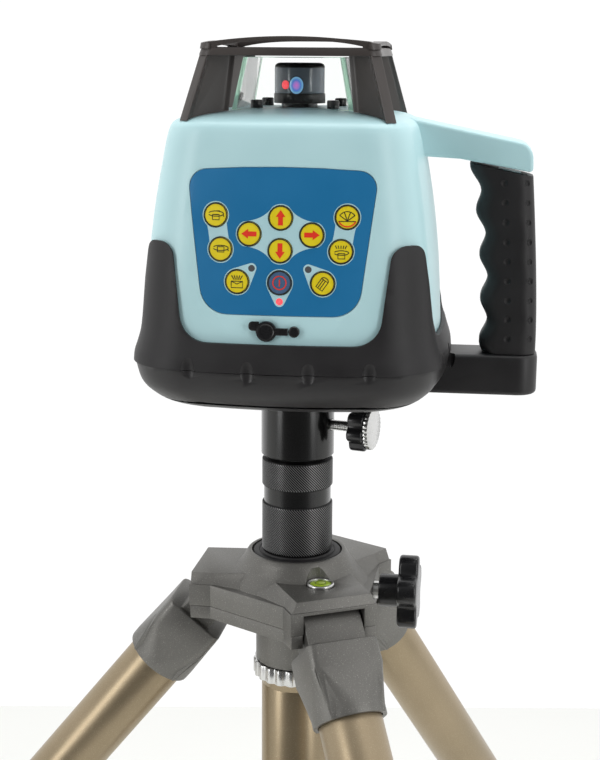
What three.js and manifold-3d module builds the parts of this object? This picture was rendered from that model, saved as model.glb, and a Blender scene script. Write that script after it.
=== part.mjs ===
// Rotary laser level on an elevator tripod, in millimetres, +Z up.
// The origin is on the floor, on the mast's axis. The laser's keypad faces -Y and its handle is
// on the +X side. The legs stand at their spread stops with their lower tubes pushed in.
import * as THREE from 'three';
import { mergeVertices } from 'three/addons/utils/BufferGeometryUtils.js';
import Module from 'manifold-3d';

const wasm = await Module();
wasm.setup();

const GAP = 0.3;                      // clearance between neighbours that touch
const SIDES = 20;                     // facets round a turned piece
const RAD = Math.PI / 180;

// ---- Tripod ----
const MAST_TUBE = 17.6;               // outer radius; the knurling, band and spigot follow it
const MAST = { tube: MAST_TUBE, wall: 2.2, length: 225, knurl: MAST_TUBE + 2.2, band: MAST_TUBE + 1.2,
  spigot: MAST_TUBE - 0.9 };
const LEG_COUNT = 3;
const FIRST_LEG = -62;                // heading of the front leg, degrees from +X
const LEG_SPREAD = 39;                // a leg's angle from upright at its stop
const LEG_LENGTH = 602;               // hinge pin to the middle of the ball foot, lower tube pushed in
const HINGE_REACH = 47;               // mast axis to hinge pin
const UPPER_TUBE = { radius: 17.3, wall: 2.2, top: 34, bottom: 360 };
const LOWER_TUBE = { radius: 14.2, wall: 1.6, top: 80, bottom: 586 };
const LOCK_COLLAR = { radius: 22, length: 44, overlap: 16 };
const FOOT = { radius: 18, neck: 16.6, length: 46, sole: 17.3 };

const KNUCKLE = { width: 41, depth: 36, top: 14, waist: 28, bottom: 54, cuff: 20 };
const TONGUE = { width: 33.4, radius: 9.6 };
const PIN_RADIUS = 3;

const ARM = { reach: 57, width: 50, waist: 45, height: 26.3 };
const SPLIT_BELOW_TOP = 18.7;         // split line of the two shells, below the arms' tops
const HUB_RISE = 10.2;                // the cone's rim above the arms' tops
const COLUMN_PLAY = 0.8;              // the mast's tube to the column's bore
const COLUMN_WALL = 1.5;
const COLUMN = { radius: MAST.tube + COLUMN_PLAY + COLUMN_WALL, wall: COLUMN_WALL, length: 270 };
const BOSS = { radius: COLUMN.radius + 3.3, length: 28.6 };
const RING_NUT = { radius: COLUMN.radius + 4.9, height: 9, flutes: 22, depth: 1.3 };
const COLLAR = { radius: MAST.tube + 7.4, height: 6 };
const LEVEL = { reach: 36.4, radius: 7.5, glass: 5.8, height: 3.2 };
const HUB_PROFILE = [[44, -6], [36, 0.6], [32, 2.6]];   // radius and height over the arms' tops
const WEB_DROP = 6;                   // webs between the arms, below the arms' tops
const LOCK_KNOB = { radius: 21, width: 11, lobes: 5, lobeDepth: 6, hub: 9.3, hubLength: 11, start: 47.5 };
const LOCK_PLACE = { afterLeg: 60, rise: 7 };           // heading past the front leg, height over the pins
const LOCK_STUD = { radius: 5, end: 56 };

// ---- Mast and clamp ----
const KNURL = { lower: 28, band: 9.4, upper: 15.6 };
const SLEEVE = { radius: MAST.spigot + 3.6, length: 38.7, roof: 8, below: 2 };
const STUD = { radius: 7.9, flange: 12, flangeHeight: 3.6, above: 13 };
const CLAMP = { heading: -15, drop: 20.7, radius: 3, knob: 13, knobWidth: 12, knobStart: 33, lobes: 7 };

// ---- Laser ----
const TRAY_HEIGHT = 22.9;
const BODY_TOP = 151.5;
const KEY_SIDES = 12;
const WALL = 3;
const SIDE_STEPS = 3;
const FACE_BULGE = 3;                 // how far each side's middle stands proud of a flat side
const LABEL_DEPTH = 0.9;
const BUTTON = { radius: 6, proud: 0.5, length: 4.6, travel: 0.7 };
const PILLAR_TOP = 86.7;
const CROWN = { base: 56.5, top: 45.5, floor: 146, roof: 178, roofHeight: 5, peak: 188, lip: 2.2 };
const GLASS = { base: 32, top: 26.5, wall: 2.5, roof: 177.6 };
const ROTOR = { radius: 13.3, bottom: 153.6, top: 174.5, edge: 2.5 };
const OPTICS = { radius: 9.6, barrel: 15, bottom: 62, barrelTop: 118 };
const GIMBAL = { height: 138, inner: 12.5, outer: 17.5, thick: 5 };
const HANDLE = { outer: 129, lean: 5, width: 28, gripInner: 97, armWidth: 31 };
const TOP_ARM = { root: 147, outer: 133, drop: 15.5 };
const FINGERS = { pitch: 22.3, depth: 4.3, first: 17.5 };
const PLUG = { x: -6.3, z: 44.2, radius: 5.2, thick: 1.8, stem: 3.4, stemLength: 2.8, hole: 4.6, strap: 1.7 };
const PLUG_ANCHOR = { x: 7.6, radius: 2.6, proud: 2.4 };
const PLATFORM_SCREW = { place: 20, radius: 3.25, proud: 4.3, sunk: 2 };   // the lantern's cap screws
const INSERT = { radius: 14, height: 16, wall: 4 };
const GRIP_CORE = { inner: 106, outer: 118, half: 6 };

// Half-width of the square body and its corner radius, from the tray's foot to the platform.
const TRAY_PROFILE = [[0, 60, 30], [2.5, 67, 32], [7, 73.2, 34], [13, 78, 34], [TRAY_HEIGHT, 80.7, 34]];
const BOOT_PROFILE = [[TRAY_HEIGHT + GAP, 80.7, 34], [28, 79.8, 34], [34, 77.9, 33], [41, 76.6, 32],
  [55, 75.4, 31], [67, 74.5, 30], [PILLAR_TOP, 72.9, 29]];
const SHELL_PROFILE = [[TRAY_HEIGHT + GAP, 75, 31], [41, 74.3, 30.5], [67, 73, 29.5], [88, 71.1, 28.5],
  [108, 68.4, 26.5], [126, 65.2, 25], [137, 63.2, 24], [143, 61.4, 23]];
const DOME_PROFILE = [[146, 58.6, 22], [148.6, 50, 19], [BODY_TOP, 28, 10]];

// Where each key sits on the label: sideways and up from the laser's foot.
const KEYS = { key_up: [0, 100.2], key_down: [0, 84.2], key_left: [-15.6, 92.1], key_right: [15.6, 92.1],
  key_spin: [-32.8, 100.9], key_speed: [-30.1, 84.2], key_tilt: [32.8, 100.9], key_scan: [30.1, 84.2],
  key_alarm: [-21.4, 68.4], key_manual: [21.4, 68.4], key_power: [0, 68.4] };

// ---- Heights worked out from the sizes above ----
const HINGE_Z = LEG_LENGTH * Math.cos(LEG_SPREAD * RAD) + FOOT.sole;
const ARM_TOP_Z = HINGE_Z + SPLIT_BELOW_TOP;
const ARM_FOOT_Z = ARM_TOP_Z - ARM.height;
const HUB_TOP_Z = ARM_TOP_Z + HUB_RISE;
const COLLAR_TOP_Z = HUB_TOP_Z + 0.5;
const KNURL_TOP_Z = COLLAR_TOP_Z + GAP + KNURL.lower + KNURL.band + KNURL.upper;
const SLEEVE_FOOT_Z = KNURL_TOP_Z + SLEEVE.below;
const SLEEVE_TOP_Z = SLEEVE_FOOT_Z + SLEEVE.length;
const LASER_Z = SLEEVE_TOP_Z + GAP;
const BOSS_FOOT_Z = ARM_FOOT_Z - BOSS.length;
const NUT_FOOT_Z = BOSS_FOOT_Z - GAP - RING_NUT.height;
const COLUMN_TOP_Z = ARM_FOOT_Z + 4;
const COLUMN_FOOT_Z = COLUMN_TOP_Z - COLUMN.length;

const group = new THREE.Group();

// ---- Finishes ----
function finish(color, roughness, metalness) {
  return new THREE.MeshStandardMaterial({ color, roughness, metalness });
}
const AQUA = finish(0xaed4d8, 0.38, 0);
const LABEL_BLUE = finish(0x2670a8, 0.45, 0);
const KEY_YELLOW = finish(0xebcd16, 0.45, 0);
const KEY_GREY = finish(0x4a6a8a, 0.45, 0);
const RUBBER = finish(0x2f2f31, 0.75, 0);
const BLACK_PLASTIC = finish(0x1f1f21, 0.4, 0);
const CROWN_PLASTIC = finish(0x3a3836, 0.5, 0);
const BLACK_METAL = finish(0x17171a, 0.3, 0.6);
const CASTING = finish(0x6b6964, 0.5, 0.6);
const CHAMPAGNE = finish(0xa8987a, 0.35, 0.7);
const BRIGHT = finish(0xc8ccd0, 0.25, 0.95);
const GREEN_FLUID = finish(0xb8dc28, 0.1, 0);
const PANE = finish(0xdff2ea, 0.05, 0);
const BOARD = finish(0x1f6b3a, 0.6, 0);
const BRASS = finish(0xb99a4e, 0.3, 0.9);

// ---- Solid helpers ----
function solid(geometry) {
  const bare = geometry.clone();
  bare.deleteAttribute('normal');
  bare.deleteAttribute('uv');
  const welded = mergeVertices(bare, 1e-4);
  const mesh = new wasm.Mesh({ numProp: 3, vertProperties: new Float32Array(welded.attributes.position.array),
    triVerts: new Uint32Array(welded.index.array) });
  return new wasm.Manifold(mesh);
}

function geometryOf(manifold) {
  const mesh = manifold.getMesh();
  const geometry = new THREE.BufferGeometry();
  geometry.setAttribute('position', new THREE.BufferAttribute(new Float32Array(mesh.vertProperties), 3));
  geometry.setIndex(new THREE.BufferAttribute(new Uint32Array(mesh.triVerts), 1));
  return geometry;
}

const joined = (shapes) => shapes.map(solid).reduce((sum, shape) => sum.add(shape));
const cut = (body, tools) => tools.reduce((rest, tool) => rest.subtract(solid(tool)), body);

function addPiece(parent, name, shape, material) {
  const geometry = shape.isBufferGeometry ? shape : geometryOf(shape);
  geometry.computeVertexNormals();
  const mesh = new THREE.Mesh(geometry, material);
  mesh.name = name;
  parent.add(mesh);
  return mesh;
}

// Radius of a faceted bore whose flats keep the clearance round a shaft of this radius.
const around = (radius, sides = SIDES) => (radius + GAP) / Math.cos(Math.PI / sides);

// A turned shape from [radius, height] points, closed on the axis or on itself.
function turned(profile, segments = SIDES) {
  const points = profile.map(([radius, height]) => new THREE.Vector2(radius, height));
  if (THREE.ShapeUtils.area(points) < 0) points.reverse();
  if (points[0].x > 0 || points[points.length - 1].x > 0) points.push(points[0].clone());
  return new THREE.LatheGeometry(points, segments).rotateX(Math.PI / 2);
}

function pipe(outer, inner, low, high, segments = SIDES) {
  return turned([[inner, low], [outer, low], [outer, high], [inner, high]], segments);
}

function rod(radius, low, high, segments = SIDES) {
  return new THREE.CylinderGeometry(radius, radius, high - low, segments).rotateX(Math.PI / 2)
    .translate(0, 0, (low + high) / 2);
}

// A rod or turned shape made along +Z, laid along a heading in the level plane.
function laidAlong(geometry, heading, height) {
  return geometry.rotateY(Math.PI / 2).rotateZ(heading * RAD).translate(0, 0, height);
}

function block(low, high) {
  const size = high.map((value, index) => value - low[index]);
  const middle = high.map((value, index) => (value + low[index]) / 2);
  return new THREE.BoxGeometry(...size).translate(...middle);
}

function extruded(outline, depth) {
  const shape = new THREE.Shape(outline.map(([x, y]) => new THREE.Vector2(x, y)));
  return new THREE.ExtrudeGeometry(shape, { depth, bevelEnabled: false });
}

// An outline in X and Z, extruded along Y and centred on y = 0.
function extrudedSideways(outline, depth) {
  return extruded(outline, depth).rotateX(Math.PI / 2).translate(0, depth / 2, 0);
}

// Rounds every corner of an outline whose points are [x, y, radius].
function rounded(corners, steps = 4) {
  const points = [];
  corners.forEach(([x, y, radius], index) => {
    const before = corners[(index + corners.length - 1) % corners.length];
    const after = corners[(index + 1) % corners.length];
    if (!radius) { points.push([x, y]); return; }
    const corner = new THREE.Vector2(x, y);
    const toBefore = new THREE.Vector2(before[0] - x, before[1] - y).normalize();
    const toAfter = new THREE.Vector2(after[0] - x, after[1] - y).normalize();
    const half = Math.acos(THREE.MathUtils.clamp(toBefore.dot(toAfter), -1, 1)) / 2;
    const reach = radius / Math.tan(half);
    const start = corner.clone().addScaledVector(toBefore, reach);
    const end = corner.clone().addScaledVector(toAfter, reach);
    const inward = toBefore.clone().add(toAfter).normalize();
    const centre = inward.multiplyScalar(radius / Math.sin(half)).add(corner);
    const from = start.clone().sub(centre).angle();
    let sweep = end.clone().sub(centre).angle() - from;
    if (sweep > Math.PI) sweep -= 2 * Math.PI;
    if (sweep < -Math.PI) sweep += 2 * Math.PI;
    for (let step = 0; step <= steps; step++) {
      const angle = from + sweep * step / steps;
      points.push([centre.x + radius * Math.cos(angle), centre.y + radius * Math.sin(angle)]);
    }
  });
  return points;
}

// Skins a stack of rings, each with the same number of [x, y, z] points, and closes both ends.
function skinned(rings) {
  const count = rings[0].length;
  const positions = rings.flat(2);
  const index = [];
  for (let level = 0; level + 1 < rings.length; level++) {
    for (let i = 0; i < count; i++) {
      const a = level * count + i;
      const b = level * count + (i + 1) % count;
      index.push(a, b, b + count, a, b + count, a + count);
    }
  }
  const centre = (ring) => ring.reduce((sum, p) => [sum[0] + p[0] / count, sum[1] + p[1] / count,
    sum[2] + p[2] / count], [0, 0, 0]);
  positions.push(...centre(rings[0]), ...centre(rings[rings.length - 1]));
  const low = rings.length * count;
  for (let i = 0; i < count; i++) {
    const next = (i + 1) % count;
    index.push(low, next, i);
    index.push(low + 1, low - count + i, low - count + next);
  }
  const geometry = new THREE.BufferGeometry();
  geometry.setAttribute('position', new THREE.Float32BufferAttribute(positions, 3));
  geometry.setIndex(index);
  return geometry;
}

// A square ring with rounded corners and sides that swell by the bulge in the middle.
function squareRing(half, radius, bulge, height, cornerSteps = 3, sideSteps = SIDE_STEPS) {
  const straight = half - radius;
  const ring = [];
  for (let side = 0; side < 4; side++) {
    const turn = side * Math.PI / 2;
    const place = (x, y) => ring.push([x * Math.cos(turn) - y * Math.sin(turn),
      x * Math.sin(turn) + y * Math.cos(turn), height]);
    for (let step = 1; step < sideSteps; step++) {
      const along = -1 + 2 * step / sideSteps;
      place(half + bulge * (1 - along * along), straight * along);
    }
    for (let step = 0; step <= cornerSteps; step++) {
      const angle = step / cornerSteps * Math.PI / 2;
      place(straight + radius * Math.cos(angle), straight + radius * Math.sin(angle));
    }
  }
  return ring;
}

function bodyLoft(profile, offset = 0) {
  return skinned(profile.map(([height, half, radius]) =>
    squareRing(half + offset, radius + offset, FACE_BULGE, height)));
}

// The body's half-width at a height, and the front face's point and slope there.
function halfAt(height) {
  const upper = SHELL_PROFILE.findIndex(([level]) => level >= height);
  const [z0, half0, r0] = SHELL_PROFILE[upper - 1];
  const [z1, half1, r1] = SHELL_PROFILE[upper];
  const share = (height - z0) / (z1 - z0);
  return { half: half0 + share * (half1 - half0), radius: r0 + share * (r1 - r0),
    slope: (half0 - half1) / (z1 - z0) };
}

function facePoint(x, z) {
  const { half, radius, slope } = halfAt(z);
  const along = x / (half - radius);
  const swell = Math.abs(along) < 1 ? FACE_BULGE * (1 - along * along) : 0;
  return { y: -(half + swell), tilt: Math.atan(slope),
    yaw: Math.abs(along) < 1 ? Math.atan(2 * FACE_BULGE * along / (half - radius)) : 0 };
}

// ---- Tripod shoulder ----
function armHeading(index) {
  return FIRST_LEG + index * 360 / LEG_COUNT;
}

// Plan of the shoulder: three square arm ends joined by straight webs.
function shoulderPlan(grow = 0) {
  const half = ARM.width / 2 + grow;
  const reach = ARM.reach + grow;
  const outline = [];
  for (let index = 0; index < LEG_COUNT; index++) {
    const turn = armHeading(index) * RAD;
    for (const [x, y] of [[ARM.waist, -half], [reach, -half], [reach, half], [ARM.waist, half]]) {
      outline.push([x * Math.cos(turn) - y * Math.sin(turn), x * Math.sin(turn) + y * Math.cos(turn)]);
    }
  }
  return outline;
}

function onEachArm(make) {
  return Array.from({ length: LEG_COUNT }, (_, index) => make().rotateZ(armHeading(index) * RAD));
}

function hingeSlots() {
  const half = TONGUE.width / 2 + 1;
  const inner = HINGE_REACH - TONGUE.radius - 1.5;
  const roof = HINGE_Z + TONGUE.radius + 1.2;
  return onEachArm(() => block([inner, -half, ARM_FOOT_Z - 1], [ARM.reach + 2, half, roof]));
}

function pinChannels() {
  const half = ARM.width / 2 - 2.5;
  return onEachArm(() => rod(around(PIN_RADIUS, 16), -half, half, 16).rotateX(Math.PI / 2)
    .translate(HINGE_REACH, 0, HINGE_Z));
}

function shoulderTop() {
  const rim = around(COLLAR.radius) + 0.4;
  const splitZ = HINGE_Z + GAP / 2;
  const hub = turned([[0, splitZ], [HUB_PROFILE[0][0], splitZ],
    ...HUB_PROFILE.map(([radius, rise]) => [radius, ARM_TOP_Z + rise]),
    [COLLAR.radius + 2.6, HUB_TOP_Z - 0.6], [rim, HUB_TOP_Z], [0, HUB_TOP_Z]], 24);
  const webs = extruded(shoulderPlan(), ARM_TOP_Z - WEB_DROP - splitZ).translate(0, 0, splitZ);
  const arms = onEachArm(() => extrudedSideways([[10, splitZ], [ARM.reach, splitZ],
    [ARM.reach, ARM_TOP_Z - 0.4], [36, ARM_TOP_Z + 0.4], [10, ARM_TOP_Z + 1]], ARM.width - 1));
  const bore = rod(around(MAST.tube), splitZ - 1, HUB_TOP_Z + 1);
  const seat = rod(around(COLLAR.radius), COLLAR_TOP_Z - COLLAR.height - GAP, HUB_TOP_Z + 1);
  const levelSeat = rod(around(LEVEL.radius), ARM_TOP_Z - 1.4, ARM_TOP_Z + 8)
    .translate(LEVEL.reach, 0, 0).rotateZ(armHeading(0) * RAD);
  const studHole = laidAlong(rod(around(LOCK_STUD.radius, 16), 10, 70, 16),
    armHeading(0) + LOCK_PLACE.afterLeg, HINGE_Z + LOCK_PLACE.rise);
  return cut(joined([hub, webs, ...arms]),
    [...hingeSlots(), ...pinChannels(), bore, seat, levelSeat, studHole]);
}

function shoulderBase() {
  const splitZ = HINGE_Z - GAP / 2;
  const plate = extruded(shoulderPlan(-0.4), splitZ - ARM_FOOT_Z).translate(0, 0, ARM_FOOT_Z);
  const boss = rod(BOSS.radius, BOSS_FOOT_Z, ARM_FOOT_Z + 1, 24);
  const bore = rod(around(COLUMN.radius), BOSS_FOOT_Z - 1, COLUMN_TOP_Z + GAP);
  const mastWay = rod(around(MAST.tube), BOSS_FOOT_Z, splitZ + 1);
  return cut(joined([plate, boss]), [...hingeSlots(), ...pinChannels(), bore, mastWay]);
}

// Outline of a knob or nut whose rim waves between two radii.
function lobedOutline(radius, depth, lobes, steps) {
  const outline = [];
  for (let step = 0; step < lobes * steps; step++) {
    const angle = step / (lobes * steps) * 2 * Math.PI;
    const wave = 0.5 - 0.5 * Math.cos(lobes * angle);
    const reach = radius - depth * Math.pow(1 - wave, 1.5);
    outline.push([reach * Math.cos(angle), reach * Math.sin(angle)]);
  }
  return outline;
}

function ringNut() {
  const body = solid(extruded(lobedOutline(RING_NUT.radius, RING_NUT.depth, RING_NUT.flutes, 3),
    RING_NUT.height).translate(0, 0, NUT_FOOT_Z));
  return cut(body, [rod(around(COLUMN.radius), NUT_FOOT_Z - 1, BOSS_FOOT_Z)]);
}

function buildShoulder() {
  addPiece(group, 'shoulder_top', shoulderTop(), CASTING);
  addPiece(group, 'shoulder_base', shoulderBase(), CASTING);
  addPiece(group, 'mast_collar', pipe(COLLAR.radius, around(MAST.tube), COLLAR_TOP_Z - COLLAR.height,
    COLLAR_TOP_Z), RUBBER);
  addPiece(group, 'column_ring_nut', ringNut(), BRIGHT);
  addPiece(group, 'column_tube', pipe(COLUMN.radius, COLUMN.radius - COLUMN.wall, COLUMN_FOOT_Z,
    COLUMN_TOP_Z), CHAMPAGNE);
  const capOuter = COLUMN.radius + 2;
  const capBore = around(COLUMN.radius);
  addPiece(group, 'column_end_cap', turned([[4, COLUMN_FOOT_Z - 6], [capOuter - 2, COLUMN_FOOT_Z - 6],
    [capOuter, COLUMN_FOOT_Z - 4], [capOuter, COLUMN_FOOT_Z + 14], [capBore, COLUMN_FOOT_Z + 14],
    [capBore, COLUMN_FOOT_Z - GAP], [4, COLUMN_FOOT_Z - GAP]]), BLACK_PLASTIC);
  const level = new THREE.Group();
  level.rotation.z = armHeading(0) * RAD;
  group.add(level);
  const levelZ = ARM_TOP_Z - 1.4 + GAP;
  addPiece(level, 'level_ring', turned([[around(LEVEL.glass), levelZ], [LEVEL.radius, levelZ],
    [LEVEL.radius, levelZ + LEVEL.height - 0.6], [LEVEL.radius - 0.6, levelZ + LEVEL.height],
    [around(LEVEL.glass), levelZ + LEVEL.height]]).translate(LEVEL.reach, 0, 0), BRIGHT);
  addPiece(level, 'level_vial', turned([[0, levelZ], [LEVEL.glass, levelZ],
    [LEVEL.glass, levelZ + LEVEL.height - 0.8], [0, levelZ + LEVEL.height - 0.3]])
    .translate(LEVEL.reach, 0, 0), GREEN_FLUID);
}

function buildMastLock() {
  const heading = armHeading(0) + LOCK_PLACE.afterLeg;
  const height = HINGE_Z + LOCK_PLACE.rise;
  const hubEnd = LOCK_KNOB.start + LOCK_KNOB.hubLength;
  const outline = lobedOutline(LOCK_KNOB.radius, LOCK_KNOB.lobeDepth, LOCK_KNOB.lobes, 6);
  const head = extruded(outline, LOCK_KNOB.width).translate(0, 0, hubEnd);
  const hub = rod(LOCK_KNOB.hub, LOCK_KNOB.start, hubEnd + 1, 24);
  const bore = rod(around(LOCK_STUD.radius, 16), LOCK_KNOB.start - 1, LOCK_STUD.end + GAP, 16);
  addPiece(group, 'mast_lock_knob', laidAlong(geometryOf(cut(joined([head, hub]), [bore])), heading, height),
    BLACK_PLASTIC);
  addPiece(group, 'mast_lock_stud', laidAlong(rod(LOCK_STUD.radius, MAST.tube + GAP, LOCK_STUD.end, 16),
    heading, height), BRIGHT);
}

// ---- Legs, each made hanging straight down from its pin and then spread ----
function knuckle() {
  const ring = (halfX, halfY, radius, height) => squareRing(halfX, radius, 0, -height, 3, 2)
    .map(([x, y, z]) => [x, y * (halfY / halfX), z]);
  const { width, depth, top, waist, bottom, cuff } = KNUCKLE;
  const head = skinned([ring(cuff, cuff, cuff - 0.2, bottom), ring(cuff + 0.4, cuff + 0.4, 15, bottom - 12),
    ring(depth / 2, width / 2, 6, waist), ring(depth / 2 - 1, width / 2 - 0.5, 4, top)]);
  const end = [];
  for (let step = 0; step <= 6; step++) {
    const angle = step / 6 * Math.PI;
    end.push([TONGUE.radius * Math.cos(angle), TONGUE.radius * Math.sin(angle)]);
  }
  const tongue = extrudedSideways([[TONGUE.radius, -top - 4], ...end, [-TONGUE.radius, -top - 4]],
    TONGUE.width);
  const pinBore = rod(around(PIN_RADIUS, 16), -30, 30, 16).rotateX(Math.PI / 2);
  const socket = rod(around(UPPER_TUBE.radius), -bottom - 1, -UPPER_TUBE.top + GAP);
  return cut(joined([head, tongue]), [pinBore, socket]);
}

// A rubber cup over the lower tube that ends in a ball with a small flat sole.
function foot() {
  const { radius, neck, length, sole } = FOOT;
  const seat = -(LOWER_TUBE.bottom + GAP);
  const bore = around(LOWER_TUBE.radius, 16);
  const profile = [[0, seat], [bore, seat], [bore, -LEG_LENGTH + length],
    [neck, -LEG_LENGTH + length], [neck, -LEG_LENGTH + radius]];
  const steps = 6;
  for (let step = 0; step <= steps; step++) {
    const angle = (0.22 + 0.78 * step / steps) * Math.PI;
    profile.push([step === steps ? 0 : radius * Math.sin(angle), -LEG_LENGTH + radius * Math.cos(angle)]);
  }
  const floor = block([-60, -60, -60], [60, 60, -sole]).rotateY(LEG_SPREAD * RAD)
    .translate(0, 0, -LEG_LENGTH);
  return cut(solid(turned(profile, 16)), [floor]);
}

function buildLeg(index) {
  const turn = new THREE.Group();
  turn.rotation.z = armHeading(index) * RAD;
  group.add(turn);
  const number = index + 1;
  addPiece(turn, `hinge_pin_${number}`, rod(PIN_RADIUS, -ARM.width / 2 + 3, ARM.width / 2 - 3, 16)
    .rotateX(Math.PI / 2).translate(HINGE_REACH, 0, HINGE_Z), BRIGHT);
  const leg = new THREE.Group();
  leg.position.set(HINGE_REACH, 0, HINGE_Z);
  leg.rotation.y = -LEG_SPREAD * RAD;
  turn.add(leg);
  addPiece(leg, `knuckle_${number}`, knuckle(), CASTING);
  addPiece(leg, `upper_tube_${number}`, pipe(UPPER_TUBE.radius, UPPER_TUBE.radius - UPPER_TUBE.wall,
    -UPPER_TUBE.bottom, -UPPER_TUBE.top), CHAMPAGNE);
  const { radius, length, overlap } = LOCK_COLLAR;
  const top = -(UPPER_TUBE.bottom - overlap);
  const lip = -(UPPER_TUBE.bottom + GAP);
  const sleeveBore = around(UPPER_TUBE.radius);
  addPiece(leg, `lock_collar_${number}`, turned([[sleeveBore, lip], [sleeveBore, top],
    [radius - 1.5, top], [radius, top - 2], [radius, top - length + 8], [radius - 3, top - length],
    [around(LOWER_TUBE.radius), top - length], [around(LOWER_TUBE.radius), lip]]), BLACK_PLASTIC);
  addPiece(leg, `lower_tube_${number}`, pipe(LOWER_TUBE.radius, LOWER_TUBE.radius - LOWER_TUBE.wall,
    -LOWER_TUBE.bottom, -LOWER_TUBE.top, 16), CHAMPAGNE);
  addPiece(leg, `foot_${number}`, foot(), RUBBER);
}

// ---- Mast, clamp sleeve and stud ----
function buildMast() {
  const lowerTop = COLLAR_TOP_Z + GAP + KNURL.lower;
  const bandTop = lowerTop + KNURL.band;
  const spigotTop = SLEEVE_TOP_Z - SLEEVE.roof - STUD.flangeHeight - 1;
  const foot = COLLAR_TOP_Z - MAST.length;
  addPiece(group, 'knurled_mast', turned([[MAST.tube - MAST.wall, foot], [MAST.tube, foot],
    [MAST.tube, COLLAR_TOP_Z + GAP], [MAST.knurl, COLLAR_TOP_Z + GAP], [MAST.knurl, lowerTop - 0.5],
    [MAST.band, lowerTop], [MAST.band, bandTop], [MAST.knurl, bandTop + 0.5], [MAST.knurl, KNURL_TOP_Z],
    [MAST.spigot, KNURL_TOP_Z], [MAST.spigot, spigotTop], [5, spigotTop], [5, spigotTop - 8],
    [MAST.tube - MAST.wall, spigotTop - 12]]), BLACK_METAL);

  const clampZ = SLEEVE_TOP_Z + GAP - CLAMP.drop;
  const sleeve = solid(turned([[around(MAST.spigot), SLEEVE_FOOT_Z], [SLEEVE.radius - 0.8, SLEEVE_FOOT_Z],
    [SLEEVE.radius, SLEEVE_FOOT_Z + 0.8], [SLEEVE.radius, SLEEVE_TOP_Z], [around(STUD.radius), SLEEVE_TOP_Z],
    [around(STUD.radius), SLEEVE_TOP_Z - SLEEVE.roof], [around(MAST.spigot), SLEEVE_TOP_Z - SLEEVE.roof]]));
  const tapped = laidAlong(rod(around(CLAMP.radius, 12), 10, 40, 12), CLAMP.heading, clampZ);
  addPiece(group, 'clamp_sleeve', cut(sleeve, [tapped]), BLACK_METAL);
  const flangeTop = SLEEVE_TOP_Z - SLEEVE.roof - GAP;
  addPiece(group, 'laser_stud', turned([[0, flangeTop - STUD.flangeHeight], [STUD.flange, flangeTop
    - STUD.flangeHeight], [STUD.flange, flangeTop], [STUD.radius, flangeTop], [STUD.radius, LASER_Z
    + STUD.above - 1], [STUD.radius - 1, LASER_Z + STUD.above], [0, LASER_Z + STUD.above]]), BRIGHT);

  const screwEnd = CLAMP.knobStart + CLAMP.knobWidth - 4;
  addPiece(group, 'clamp_screw', laidAlong(rod(CLAMP.radius, MAST.spigot + GAP, screwEnd, 12),
    CLAMP.heading, clampZ), BRIGHT);
  const knob = solid(extruded(lobedOutline(CLAMP.knob, 2.2, CLAMP.lobes, 6), CLAMP.knobWidth)
    .translate(0, 0, CLAMP.knobStart));
  const bore = rod(around(CLAMP.radius, 12), CLAMP.knobStart - 1, screwEnd + GAP, 12);
  addPiece(group, 'clamp_knob', laidAlong(geometryOf(cut(knob, [bore])), CLAMP.heading, clampZ),
    BLACK_PLASTIC);
}

// ---- Laser ----
const laser = new THREE.Group();
laser.position.z = LASER_Z;
group.add(laser);

function baseTray() {
  const outer = solid(bodyLoft(TRAY_PROFILE));
  const cavityProfile = TRAY_PROFILE.slice(2)
    .map(([height, half, radius]) => [height, half - 3.4, radius - 2]);
  cavityProfile[0][0] = 3.4;
  cavityProfile[cavityProfile.length - 1][0] = TRAY_HEIGHT + 1;
  const cavity = solid(bodyLoft(cavityProfile));
  const tower = rod(INSERT.radius + INSERT.wall, 1, INSERT.height, 24);
  const half = HANDLE.armWidth / 2;
  const arm = extruded(rounded([[70, -half, 0], [HANDLE.outer + 1, -half, 11], [HANDLE.outer + 1, half, 11],
    [70, half, 0]], 5), TRAY_HEIGHT - 1.2).translate(0, 0, 1.2);
  return cut(outer.add(solid(arm)).subtract(cavity).add(solid(tower)),
    [rod(around(INSERT.radius), -1, INSERT.height + 1)]);
}

// The label's outline in X and Z, wider at the top and with an arched upper edge.
function labelOutline(grow = 0) {
  const [top, bottom, wide, narrow] = [123.3 + grow, 52 - grow, 47 + grow, 38.3 + grow];
  return rounded([[-narrow, bottom, 14], [narrow, bottom, 14], [wide, top - 0.6, 9], [0, top + 1.4, 0],
    [-wide, top - 0.6, 9]], 5);
}

function frontPrism(outline) {
  return extruded(outline, 40).rotateX(Math.PI / 2).translate(0, -45, 0);
}

// A round tool or key laid square to the front face, with z = 0 on the surface and +z outwards.
function squareToFace(geometry, x, z) {
  const { y, tilt, yaw } = facePoint(x, z);
  return geometry.rotateX(Math.PI / 2 - tilt).rotateZ(yaw).translate(x, y, z);
}

// Heights of the upper arm's top and of the grip's top under it, at a distance from the axis.
function armTop(x) {
  return TOP_ARM.root - (x - 60) * (TOP_ARM.root - TOP_ARM.outer) / (HANDLE.outer - 60);
}

function gripTop(x) {
  return armTop(x) - TOP_ARM.drop - 3 * GAP;
}

function topArmOutline() {
  const { drop } = TOP_ARM;
  const end = HANDLE.outer - HANDLE.lean;
  return rounded([[55, armTop(55) - drop - 4, 0], [66, armTop(66) - drop - 3, 0], [86, armTop(86) - drop, 12],
    [end, armTop(end) - drop + 1, 2], [end - 0.5, armTop(end), 9], [55, armTop(55), 0]], 5);
}

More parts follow.
